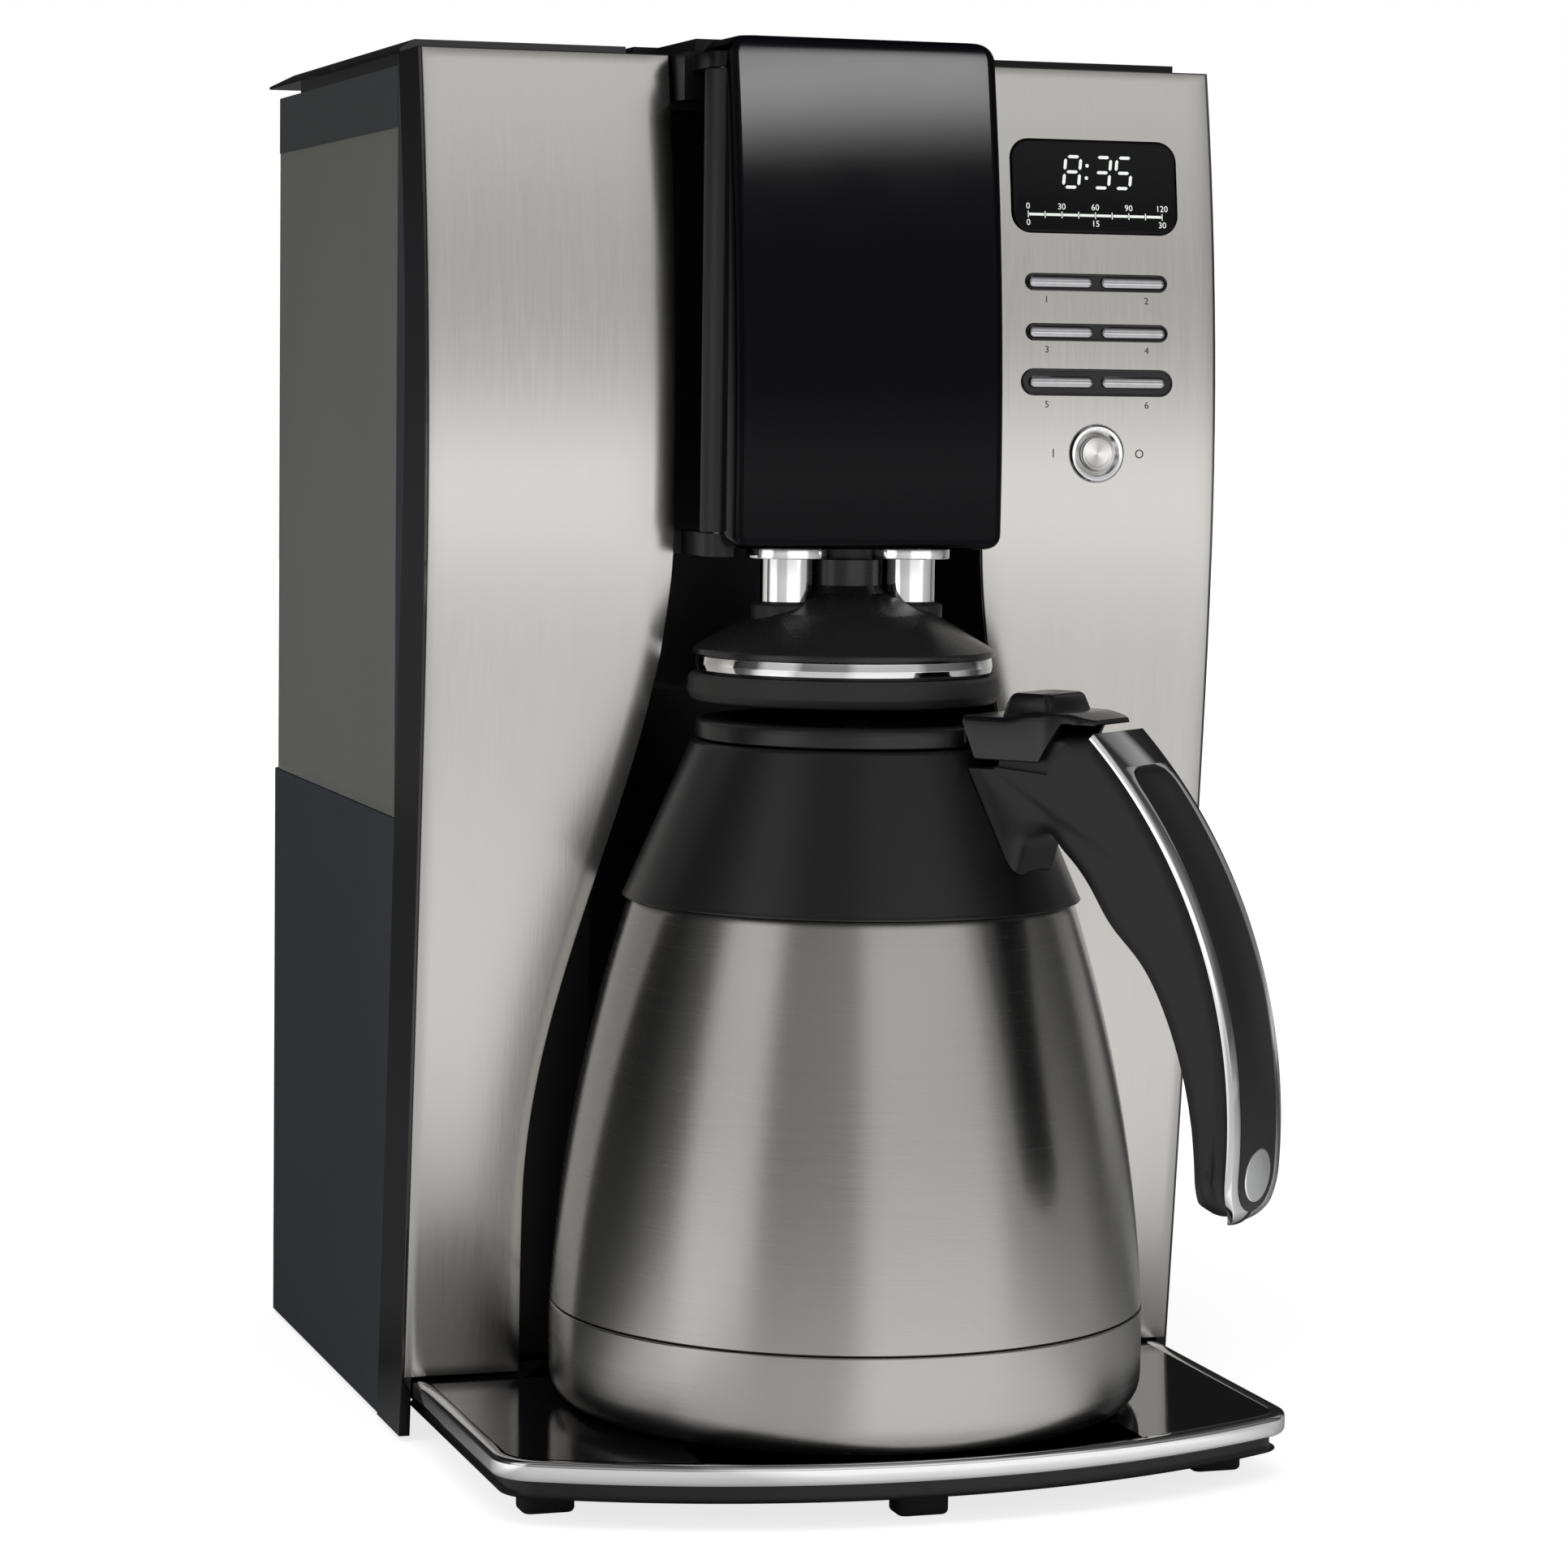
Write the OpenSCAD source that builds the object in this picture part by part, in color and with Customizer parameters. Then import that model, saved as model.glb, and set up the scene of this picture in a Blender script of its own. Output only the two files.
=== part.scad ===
// Drip coffee maker with a thermal carafe.
// Origin: on the surface it stands on, in the middle of the whole outline. +X right, +Y to the back, +Z up.
// Inside the modules y is measured from the upright axis of the carafe, and bay() puts it in place.

/* [Body] */
// Width of the body over its side walls
body_w = 222; // [216:1:240]
// Height of the top cover over the ground
body_h = 378; // [372:1:396]
// From the carafe's axis back to the rear cover
body_rear = 232; // [226:1:250]
// Wall of the plastic mouldings
wall = 2; // [1.6:0.1:2.4]
// Height of the side walls' lower edge over the ground
skirt_lift = 1.5; // [1:0.1:3]
// Thickness of the top cover and of the reservoir lid
cover_t = 3.5; // [3.2:0.1:4.5]

/* [Front] */
// From the top cover down to where the front stands furthest forward
bow_drop = 114; // [104:1:124]
// From the carafe's axis back to the front at that height
bow_y = 22; // [20:0.5:26]
// Radius of the bow above that height
bow_r = 545; // [480:5:700]
// Slope that the front has well below that height
lean = 0.112; // [0.09:0.002:0.12]
// Thickness of the steel skins
skin_t = 0.8; // [0.5:0.1:1]
// Depth of the black frame's side at the top
strip_d = 24; // [22:0.5:26]
// Depth that the frame's side gains towards the ground
strip_gain = 5; // [3:0.5:6]
// Half width of the cut-out between the skins beside the brew head
slot_half = 43.2; // [43:0.1:44]
// Half width of the cut-out beside the foot of the carafe
bay_half = 79.3; // [78:0.1:80]

/* [Base] */
// Radius of the bowed front edge of the base
base_r = 223.5; // [200:1:300]
// From the carafe's axis forward to the front edge of the base
base_front = 80; // [78:1:90]
// Radius of the front corners of the base
base_corner = 14; // [10:1:20]
// Height of the stand plate's surface over the ground
plate_z = 17.6; // [16.5:0.1:20]
// Height of the chrome trim
trim_h = 5.6; // [5:0.1:6.4]
// Width of the chrome trim's top
trim_w = 4.4; // [3.6:0.1:5]
// Height of the feet
foot_h = 7.5; // [6.5:0.1:8]

/* [Brew door] */
// Half width of the door
door_half = 37.2; // [36:0.1:37.8]
// How far the door stands in front of the bowed front
door_proud = 34; // [32:0.5:35]
// Height of the door's lower face over the ground
door_z = 244.5; // [243:0.5:248]
// Wall of the door cover
door_wall = 2.5; // [2:0.1:3]
// Radius of the hinge barrel
barrel_r = 5; // [4.6:0.1:5.2]
// Radius of the hinge pin
pin_r = 1.5; // [1.2:0.1:1.8]
// Radius of the basket holder at its rim
holder_r = 33.4; // [31:0.2:33.6]
// Radius of the hood over the carafe
hood_r = 40.4; // [38:0.2:41]
// Radius of the chrome strut sleeves
strut_r = 7.2; // [6.4:0.1:7.6]
// Distance between the struts
strut_span = 34.4; // [33:0.2:36]

/* [Reservoir] */
// Height of the tank's floor over the ground
tank_z = 169; // [166:1:172]
// Width of the tank
tank_w = 46.6; // [44:0.2:47]
// Wall of the tank
tank_wall = 2.2; // [1.8:0.1:2.8]
// Height of the collar round the tank's mouth
collar_h = 16.3; // [14:0.1:20]
// Width of the reservoir lid
lid_w = 62; // [60.5:0.1:62.5]

/* [Carafe] */
// Largest radius of the steel shell
carafe_r = 79.9; // [78:0.1:80.2]
// Radius of the shell's outline curve
shell_curve = 430; // [400:5:480]
// Height of the seam between the shell and the base cup
seam_z = 44; // [40:1:48]
// Height of the joint between the shell and the shoulder
shoulder_z = 152; // [149:1:155]
// Height of the shoulder's top
neck_z = 193.8; // [192:0.2:194.4]
// Radius of the shoulder's top
neck_r = 43.2; // [42.6:0.1:44]
// Thickness of the steel
steel_t = 0.8; // [0.6:0.1:1]
// Radius of the lid
lid_r = 42; // [41:0.1:42.6]
// Height of the lid's rim
lid_h = 5.7; // [5:0.1:5.9]

/* [Handle] */
// Angle of the handle from straight forward, towards the right
handle_az = 40; // [36:1:44]
// From the carafe's axis out to the handle's back
handle_reach = 122; // [120:0.5:126]
// Width of the handle
handle_w = 24; // [21:0.5:25]
// Thickness of the chrome handle trim
trim_t = 2; // [1.5:0.1:2.4]

/* [Controls] */
// Width of the display lens
lens_w = 48.5; // [44:0.5:50]
// Height of the display lens
lens_h = 25.7; // [22:0.1:27]
// Length of a bar key
key_l = 18.8; // [17:0.2:19.6]
// Height of a bar key
key_h = 3; // [2.4:0.1:3.2]
// How far a bar key goes in
key_travel = 0.8; // [0.5:0.1:1]
// Radius of the round brew button
button_r = 4.7; // [4:0.1:5]
// Radius of the clear ring round it
ring_r = 7.9; // [7.2:0.1:8.4]
// Gap between pieces that move past each other
gap = 0.3; // [0.25:0.05:0.4]

/* [Hidden] */
$fn = 64;

// Shared places and derived sizes
half_w = body_w / 2;
frame_half = half_w + 0.6;
skin_half = half_w - 0.2;
deck_z = body_h - cover_t;
inner_x = half_w - wall;
rear_in = body_rear - wall;
lid_over = 5;
trim_side = 1.5;
front_reach = max(base_front,
    handle_reach * cos(handle_az) + (handle_w / 2 + trim_side) * sin(handle_az));
bay_y = (front_reach - body_rear - lid_over) / 2;

// Front
bow_z = body_h - bow_drop;
grid = 12;
frame_plate = 2.5;
frame_wall = 2.2;
bow_ease = 62;
strip_top = 310;
strip_low = 200;
swoop_low = seam_z + 22;
swoop_high = door_z + 5.5;
bay_tuck = 1.7;

// Base
plate_t = 1.8;
trim_low = plate_z - trim_h;
tray_top = plate_z - plate_t;
skirt_in = 4;
platform_half = half_w - 2.5;
lip_half = 60;
lip_w = 2;
bay_r = carafe_r + 6.1;
bay_deep_z = neck_z + 9.2;
chamber_y = 67;
ceiling_z = deck_z - 14.5;
floor_gap = 0.2;

// Brew door
hinge_x = -slot_half + 7.2;
hinge_y = 6.5;
pin_fit = 0.05;
barrel_low = door_z + 3.9;
barrel_top = deck_z - 5.2;
arm_t = 4.4;
arm_low = door_z - 2.5;
arm_r = 4.2;
holder_y = 31;
holder_low = door_z + 17.5;
holder_rim = ceiling_z - 10;
spout_y = 9;
spout_r = 8;
strut_y = 7;
flange_r = 11;
flange_t = 2.9;
flange_low = door_z - flange_t - 0.1;
web_y = 2;
web_t = 2.5;
cap_half = slot_half - 3.7;
cap_y = 21.5;
hood_rim = neck_z + lid_h + 16.5;
hood_knee = 24;
hood_knee_z = hood_rim + 11;
hood_neck_z = hood_rim + 16.5;
strut_low = hood_rim + 13;
ring_h = 4.6;
seal_h = 8.2;

spring_r = 3.4;
spring_pitch = 2.9;

// Reservoir
tank_x = -half_w + 0.2;
tank_in = tank_x + tank_w;
tank_y0 = 60.5;
tank_y1 = body_rear - 4;
tank_r = 8;
partition_x = tank_in + 1.5;
collar_top = deck_z - 3.5;
collar_low = collar_top - collar_h;
flange_x = -half_w + lid_w;
lid_hinge_x = flange_x + 0.5;
lid_pin_r = 1.7;
lid_hinge_z = body_h - lid_pin_r;
cover_x = lid_hinge_x + lid_pin_r + gap;
port_x = tank_x + 24.8;
port_y = 150;
port_r = 9;

// Water path
heat_y = 125;
heat_low = tray_top + 2.2;
heat_l = 90;
heat_d = 34;
heat_h = 18;
stub_r = 5;
stub_l = 15;
inlet_y = heat_y - 8;
outlet_y = heat_y + 8;
riser_x = 70;
riser_r = 3.5;
riser_z = deck_z - 6.5;
hose_r = 6.5;
hose_bore = stub_r + 0.1;

// Carafe
belly_z = 20;
cup_fillet = 9;
liner_gap = 6;
lid_z = neck_z;
shoulder_wall = 2.4;
mouth_r = 35;
liner_t = 0.8;
liner_floor = plate_z + 6;
lever_s = 45;
lever_z = lid_z + lid_h;
lever_pin_r = 1.2;
ear_r = 2.4;
ear_q = 14;
ear_t = 2.5;

// Handle
grip_r = 140;
grip_s = handle_reach - grip_r;
grip_z = 100;
palm_r = 109.5;
grip_depth = 13.5;
palm_s = handle_reach - grip_depth - palm_r;
palm_z = 85;
tip_s = handle_reach - 8.3;
tip_z = 83.5;
tip_r = 5.3;
handle_top = lid_z + 5;
window_w = handle_w - 4;
end_z = 89.7;
disc_r = 7;
apron_half = 19;
apron_t = 2.4;
root_s = 60;

// Controls
ctrl_x = (slot_half + half_w) / 2 - 0.8;
lens_z = deck_z - 32.2;
lens_corner = 5.4;
row_z = [lens_z - 26.1, lens_z - 39.7, lens_z - 53.3];
row_half = [20.6, 20.6, 22];
row_r = [2.2, 2.2, 3.5];
key_pitch = 21.2;
button_z = lens_z - 72.6;
board_y = 41;
board_t = 1.6;
board_x0 = slot_half + wall + 5.1;
board_x1 = half_w - 6.7;
board_z0 = button_z - 11.7;
board_z1 = lens_z + 19.7;
power_x = half_w - 7;
power_y = [90, 190];
power_z = [50, 140];
screw_r = 1.5;
cord_x = half_w - 31;
cord_z = 38;
cord_r = 5;

// The front's line in side view, straight between steps of one grid
function bow(z) = z > bow_z
    ? bow_y + (z - bow_z) * (z - bow_z) / (2 * bow_r)
    : bow_y + lean * (sqrt(pow(bow_z - z, 2) + bow_ease * bow_ease) - bow_ease);
function strip(z) = strip_d + strip_gain * min(1, max(0, (strip_top - z) / (strip_top - strip_low)));
function parting(z) = bow(z) + strip(z);
// Half width of the cut-out: narrow beside the brew head, wide beside the carafe
function cut_half(z) = z >= swoop_high ? slot_half
    : z <= swoop_low ? bay_half - bay_tuck * pow((swoop_low - z) / swoop_low, 2)
    : (bay_half + slot_half) / 2
        + (bay_half - slot_half) / 2 * cos(180 * (z - swoop_low) / (swoop_high - swoop_low));
function step_of(z) = floor(z / grid);
function mixed(a, b, z) = a + (b - a) * (z / grid - step_of(z));
function front_y(z) = mixed(bow(step_of(z) * grid), bow((step_of(z) + 1) * grid), z);
function part_y(z) = mixed(parting(step_of(z) * grid), parting((step_of(z) + 1) * grid), z);
function slot_x(z) = mixed(cut_half(step_of(z) * grid), cut_half((step_of(z) + 1) * grid), z);
function steps(z0, z1) = concat([z0], [for (i = [step_of(z0) + 1:ceil(z1 / grid) - 1]) i * grid], [z1]);
function back(list) = [for (i = [len(list) - 1:-1:0]) list[i]];
function shell_r(z) = carafe_r - shell_curve + sqrt(shell_curve * shell_curve - pow(z - belly_z, 2));

module bay() translate([0, bay_y, 0]) children();
module block(x0, x1, y0, y1, z0, z1) translate([x0, y0, z0]) cube([x1 - x0, y1 - y0, z1 - z0]);
module across(x0, x1) translate([x0, 0, 0]) rotate([90, 0, 90]) linear_extrude(x1 - x0) children();
module along(y0, y1) translate([0, y1, 0]) rotate([90, 0, 0]) linear_extrude(y1 - y0) children();

// A slab that follows the bowed front, between two distances behind it
module bowed(x0, x1, z0, z1, near, far) across(x0, x1)
    polygon(concat([for (z = steps(z0, z1)) [front_y(z) + near, z]],
                   [for (z = back(steps(z0, z1))) [front_y(z) + far, z]]));

// A block from a distance behind the bowed front back to a flat plane
module bowed_to(x0, x1, z0, z1, near, y1) across(x0, x1)
    polygon(concat([for (z = steps(z0, z1)) [front_y(z) + near, z]], [[y1, z1], [y1, z0]]));

// A block from the joint between frame and housing back to a flat plane
module parted_to(x0, x1, z0, z1, y1) across(x0, x1)
    polygon(concat([for (z = steps(z0, z1)) [part_y(z), z]], [[y1, z1], [y1, z0]]));

// The cut-out in front view, wider by grow on each side
module slot2d(grow, z0, z1)
    polygon(concat([for (z = steps(z0, z1)) [slot_x(z) + grow, z]],
                   [for (z = back(steps(z0, z1))) [-slot_x(z) - grow, z]]));

module rounded(x0, x1, y0, y1, r) {
    translate([x0 + r, y0]) square([x1 - x0 - 2 * r, y1 - y0]);
    translate([x0, y0 + r]) square([x1 - x0, y1 - y0 - 2 * r]);
    for (x = [x0 + r, x1 - r], y = [y0 + r, y1 - r]) translate([x, y]) circle(r);
}

module stadium(half, r) {
    square([2 * (half - r), 2 * r], center = true);
    for (x = [-1, 1]) translate([x * (half - r), 0]) circle(r);
}

module ring(r_in, r_out, h) difference() {
    cylinder(r = r_out, h = h);
    translate([0, 0, -1]) cylinder(r = r_in, h = h + 2);
}

// Screw with a pan head at the origin, its shaft pointing down
module screw(len) {
    cylinder(r = 2 * screw_r, h = 1.6);
    translate([0, 0, -len]) cylinder(r = screw_r - 0.05, h = len);
}

// Plan of the base platform, drawn in by d, as far back as y1
function corner_x() = platform_half - base_corner;
function bow_cy() = base_r - base_front;
function corner_y() = bow_cy() - sqrt(pow(base_r - base_corner, 2) - pow(corner_x(), 2));
function corner_turn() = atan2(bow_cy() - corner_y(), corner_x());
function right_edge(d) = concat(
    [for (i = [0:8]) let (a = -corner_turn() * i / 8)
        [corner_x() + (base_corner - d) * cos(a), corner_y() + (base_corner - d) * sin(a)]],
    [for (i = [1:14]) let (a = -corner_turn() - (90 - corner_turn()) * i / 14)
        [(base_r - d) * cos(a), bow_cy() + (base_r - d) * sin(a)]]);
module platform2d(d, y1)
    polygon(concat([[platform_half - d, y1]], right_edge(d),
                   [for (p = back(right_edge(d))) [-p[0], p[1]]], [[-platform_half + d, y1]]));

// ---------------------------------------------------------------- housing

module housing() color([0.09, 0.1, 0.11]) bay() {
    difference() {
        union() {
            parted_to(-half_w, half_w, skirt_lift, deck_z, rear_in);
            block(-half_w, -half_w + tank_r, rear_in - 1, body_rear, skirt_lift, tank_z - gap);
        }
        // rounded corner at the rear left
        difference() {
            block(-half_w - 1, -half_w + tank_r, body_rear - tank_r, body_rear + 1, 0, tank_z);
            translate([-half_w + tank_r, body_rear - tank_r, -1]) cylinder(r = tank_r, h = tank_z + 2);
        }
        // inside, open to the frame, the rear cover and the tray
        block(partition_x + wall, inner_x, 0, body_rear, -1, collar_top - 7);
        block(flange_x + wall + 1, inner_x, 0, body_rear, collar_top - 8, deck_z - wall);
        block(-inner_x, inner_x, 0, body_rear - tank_r, -1, tank_z - gap - 2.5);
        block(-half_w + tank_r, inner_x, 0, body_rear + 1, -1, tank_z - gap - 2.5);
        block(-inner_x, partition_x + wall + 1, 0, tank_y0 - 3, tank_z, deck_z - wall);
        translate([-half_w + tank_r, body_rear - tank_r, -1])
            cylinder(r = tank_r - wall, h = tank_z - gap - 1.5);
        // bay of the tank, open to the left and the back
        block(-body_w, partition_x, tank_y0 - 1, body_rear + 1, tank_z - gap, body_h);
        block(-body_w, flange_x + 1, tank_y0 - 1, body_rear + 1, collar_top - 5, body_h);
        // way for the plug of the top cover
        block(-slot_half, slot_half, 0, chamber_y, deck_z - 2 * wall, body_h);
        translate([port_x, port_y, tank_z - 5]) cylinder(r = port_r + 3, h = 6);
    }
    // ledges that stand on the tray
    block(inner_x - 4, inner_x + 0.1, 78, rear_in - 20, trim_low, trim_low + 2);
    block(-inner_x - 0.1, -inner_x + 4, 78, rear_in - 20, trim_low, trim_low + 2);
    // screw bosses for the rear cover and the control board
    for (p = rear_screws()) rear_boss(p[0], p[1]);
    for (y = power_y, z = power_z) difference() {
        translate([power_x, y, z]) rotate([0, 90, 0]) cylinder(r = 3, h = inner_x - power_x + 0.1);
        translate([power_x - 1, y, z]) rotate([0, 90, 0]) cylinder(r = screw_r, h = 5);
    }
}

module rear_boss(x, z) difference() {
    if (x > 0) block(x - 5, x + 5.1, rear_in - 12, rear_in, z - 5, z + 5);
    else block(x - 12.1, x + 5, rear_in - 20, rear_in, z - 5, z + 5);
    translate([x, rear_in + 1, z]) rotate([90, 0, 0]) cylinder(r = screw_r, h = 11);
}

module rear_cover() color([0.09, 0.1, 0.11]) bay() difference() {
    along(rear_in, body_rear) {
        translate([partition_x, skirt_lift]) square([half_w - partition_x, deck_z - skirt_lift]);
        translate([-half_w + tank_r, skirt_lift]) square([body_w - tank_r, tank_z - gap - skirt_lift]);
    }
    // air slots
    for (i = [0:9], z = [70, 300])
        block(20 + i * 7, 23 + i * 7, rear_in - 1, body_rear + 1, z, z + 34);
    translate([cord_x, body_rear + 1, cord_z]) rotate([90, 0, 0]) cylinder(r = cord_r + 1, h = 5);
    for (p = rear_screws()) translate([p[0], body_rear + 1, p[1]]) rotate([90, 0, 0])
        cylinder(r = screw_r + 0.1, h = 5);
}

function rear_screws() = [[inner_x - 5, 22], [inner_x - 5, 190], [inner_x - 5, deck_z - 8],
    [-inner_x + 12, 22], [-inner_x + 12, tank_z - 12]];

module top_cover() color([0.05, 0.05, 0.055]) bay() difference() {
    union() {
        block(cover_x, half_w, part_y(deck_z) + gap, body_rear, deck_z, body_h);
        block(-cap_half, cap_half, cap_y, body_rear / 2, deck_z, body_h);
        // plug that closes the cut-out over the basket
        difference() {
            block(-slot_half + 0.8, slot_half - 0.8, cap_y, chamber_y - 1, ceiling_z + wall, deck_z + 0.1);
            block(-slot_half + 2.8, slot_half - 2.8, cap_y + 2, chamber_y, ceiling_z, deck_z);
        }
        // upper arm of the door hinge
        block(hinge_x - 4, hinge_x + 4, hinge_y, cap_y + 0.1, barrel_top + gap, barrel_top + arm_t);
        translate([hinge_x, hinge_y, barrel_top + gap]) cylinder(r = arm_r, h = arm_t - gap);
    }
    translate([hinge_x, hinge_y, barrel_top - 1]) cylinder(r = pin_r + pin_fit, h = arm_t + 2);
}

// ---------------------------------------------------------------- base

module base_tray() color([0.04, 0.04, 0.045]) bay() difference() {
    union() {
        translate([0, 0, foot_h]) linear_extrude(trim_low - foot_h) platform2d(skirt_in, rear_in - 0.5);
        difference() {
            block(-inner_x + gap, inner_x - gap, 78, rear_in - 0.5, foot_h, trim_low);
            block(-half_w, -half_w + tank_r, body_rear - tank_r, body_rear, 0, body_h);
        }
        translate([-half_w + tank_r, body_rear - tank_r, foot_h])
            cylinder(r = tank_r - wall - gap - 0.2, h = trim_low - foot_h);
        translate([0, 0, trim_low - 0.1]) linear_extrude(tray_top - trim_low + 0.1)
            platform2d(trim_w + 0.2, bay_r + wall);
        // saddles under the heater
        for (x = [-30, 30]) block(x - 5, x + 5, heat_y - 15, heat_y + 15, trim_low - 0.1, heat_low);
    }
    // the underside is hollow over the feet
    for (x = [-60, 0, 60]) block(x - 20, x + 20, 0, 180, foot_h - 1, foot_h + 2);
}

module base_trim() color([0.8, 0.8, 0.82]) bay() difference() {
    translate([0, 0, trim_low]) linear_extrude(trim_h) platform2d(0, front_y(trim_low) - 0.4);
    translate([0, 0, trim_low - 1]) linear_extrude(trim_h + 2) platform2d(trim_w, body_rear);
    translate([0, 0, tray_top]) linear_extrude(trim_h) intersection() {
        platform2d(lip_w, body_rear);
        translate([-lip_half, -body_w]) square([2 * lip_half, 2 * body_w]);
    }
}

module stand_plate() color([0.02, 0.02, 0.025]) bay() {
    translate([0, 0, tray_top]) linear_extrude(plate_t) platform2d(trim_w + 0.1, 60);
    translate([0, 0, tray_top]) linear_extrude(plate_t) intersection() {
        platform2d(lip_w + 0.1, 30);
        translate([-lip_half + 0.1, -body_w]) square([2 * lip_half - 0.2, 2 * body_w]);
    }
    intersection() {
        translate([0, 0, tray_top]) cylinder(r = bay_r + wall, h = plate_t, $fn = 180);
        block(-slot_x(plate_z), slot_x(plate_z), 35, body_w, tray_top - 1, plate_z + 1);
    }
}

module feet() color([0.03, 0.03, 0.03]) bay()
    for (p = [[-platform_half + 16.5, -36], [platform_half - 16.5, -36], [0, -62],
              [-platform_half + 18, rear_in - 26], [platform_half - 18, rear_in - 26]])
        linear_extrude(foot_h) rounded(p[0] - 7, p[0] + 7, p[1] - 5, p[1] + 5, 2.5);

// ---------------------------------------------------------------- front

module controls2d(grow) {
    rounded(ctrl_x - lens_w / 2 - grow, ctrl_x + lens_w / 2 + grow,
            lens_z - lens_h / 2 - grow, lens_z + lens_h / 2 + grow, lens_corner);
    for (i = [0:2]) translate([ctrl_x, row_z[i]]) stadium(row_half[i] + grow, row_r[i] + grow);
    translate([ctrl_x, button_z]) circle(ring_r + grow);
}

module frame_side(x0, x1) color([0.03, 0.03, 0.035]) bay() difference() {
    bowed_to(x0, x1, skirt_lift, deck_z, skin_t, 130);
    parted_to(-body_w, body_w, 0, body_h, 131);
    bowed_to(-frame_half + frame_wall, frame_half - frame_wall, plate_z, deck_z - wall,
             skin_t + frame_plate, 130);
    along(0, 130) slot2d(0, plate_z, body_h + 2);
    block(-inner_x + 0.4, inner_x - 0.4, 0, 130, -1, plate_z + 0.5);
    along(0, 60) controls2d(0.15);
}

module left_frame() frame_side(-frame_half, 0);

module right_frame() {
    frame_side(0, frame_half);
    // bosses of the display board
    color([0.03, 0.03, 0.035]) bay()
        for (x = [board_x0 + 4, board_x1 - 4], z = [board_z0 + 4, board_z1 - 4]) difference() {
            bowed_to_boss(x, z);
            translate([x, board_y + 1, z]) rotate([90, 0, 0]) cylinder(r = screw_r, h = 8);
        }
}

module bowed_to_boss(x, z) intersection() {
    translate([x, board_y, z]) rotate([90, 0, 0]) cylinder(r = 2.6, h = 30);
    bowed_to(x - 5, x + 5, z - 5, z + 5, skin_t + frame_plate - 0.1, 60);
}

module left_skin() color([0.72, 0.71, 0.69]) bay() difference() {
    bowed(-skin_half, 0, plate_z + 0.6, deck_z, 0, skin_t);
    along(0, 130) slot2d(gap, plate_z, body_h + 2);
}

module right_skin() color([0.72, 0.71, 0.69]) bay() difference() {
    bowed(0, skin_half, plate_z + 0.6, deck_z, 0, skin_t);
    along(0, 130) slot2d(gap, plate_z, body_h + 2);
    along(0, 60) controls2d(0.15);
}

module bay_liner() color([0.02, 0.02, 0.022]) bay() difference() {
    union() {
        intersection() {
            union() {
                along(0, chamber_y + wall) slot2d(wall, plate_z + floor_gap, ceiling_z + wall);
                intersection() {
                    along(0, bay_r + wall) slot2d(wall, plate_z + floor_gap, bay_deep_z + wall);
                    cylinder(r = bay_r + wall, h = body_h, $fn = 180);
                }
            }
            bowed_to(-body_w, body_w, plate_z, body_h, skin_t + frame_plate + 0.1, body_rear);
        }
        // lower arm of the door hinge
        block(hinge_x - 4, hinge_x + 4, hinge_y, 34, arm_low, barrel_low - gap);
        block(-slot_half - 1, hinge_x + 4, 28, 34, arm_low, barrel_low - gap);
        translate([hinge_x, hinge_y, arm_low]) cylinder(r = arm_r, h = barrel_low - gap - arm_low);
    }
    difference() {
        union() {
            along(-20, chamber_y) slot2d(0, 0, ceiling_z);
            intersection() {
                along(-20, bay_r) slot2d(0, 0, bay_deep_z);
                cylinder(r = bay_r, h = 2 * body_h, center = true, $fn = 180);
            }
        }
        block(hinge_x - 4, hinge_x + 4, hinge_y, 34, arm_low, barrel_low - gap);
        block(-slot_half - 1, hinge_x + 4, 28, 34, arm_low, barrel_low - gap);
        translate([hinge_x, hinge_y, arm_low]) cylinder(r = arm_r, h = barrel_low - gap - arm_low);
    }
    translate([hinge_x, hinge_y, arm_low - 1]) cylinder(r = pin_r + pin_fit, h = 10);
    translate([0, holder_y, ceiling_z - 1]) cylinder(r = 6, h = 4);
}

// ---------------------------------------------------------------- water path

module spray_head() color([0.1, 0.1, 0.1]) bay() translate([0, holder_y, 0]) difference() {
    union() {
        translate([0, 0, ceiling_z - 6]) cylinder(r = 28, h = 5.9);
        translate([0, 0, ceiling_z - 1]) cylinder(r = 5.9, h = 5);
    }
    translate([0, 0, ceiling_z - 4.5]) cylinder(r = 26, h = 2.5);
    translate([0, 0, ceiling_z - 3]) cylinder(r = riser_r + 0.05, h = 10);
    for (i = [0:11]) rotate([0, 0, i * 30]) {
        translate([12, 0, ceiling_z - 7]) cylinder(r = 1.2, h = 4);
        translate([21, 0, ceiling_z - 7]) cylinder(r = 1.2, h = 4);
    }
}

// Round bar from point to point, with balls at the bends
module leg(a, b, r) translate(a)
    rotate([0, acos((b[2] - a[2]) / norm(b - a)), atan2(b[1] - a[1], b[0] - a[0])])
        cylinder(r = r, h = norm(b - a));
module route(list, r) {
    for (i = [0:len(list) - 2]) leg(list[i], list[i + 1], r);
    if (len(list) > 2) for (i = [1:len(list) - 2]) translate(list[i]) sphere(r + 0.03);
}

function riser_way() = [[heat_l / 2 + 3, outlet_y, heat_low + 9], [riser_x, outlet_y, heat_low + 9],
    [riser_x, outlet_y, riser_z], [0, outlet_y, riser_z], [0, holder_y, riser_z],
    [0, holder_y, ceiling_z + 0.5]];
module riser_tube() color([0.75, 0.75, 0.77]) bay() difference() {
    route(riser_way(), riser_r);
    route(concat([riser_way()[0] - [1, 0, 0]], [for (i = [1:4]) riser_way()[i]],
                 [riser_way()[5] - [0, 0, 1]]), riser_r - 0.8);
}

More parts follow.
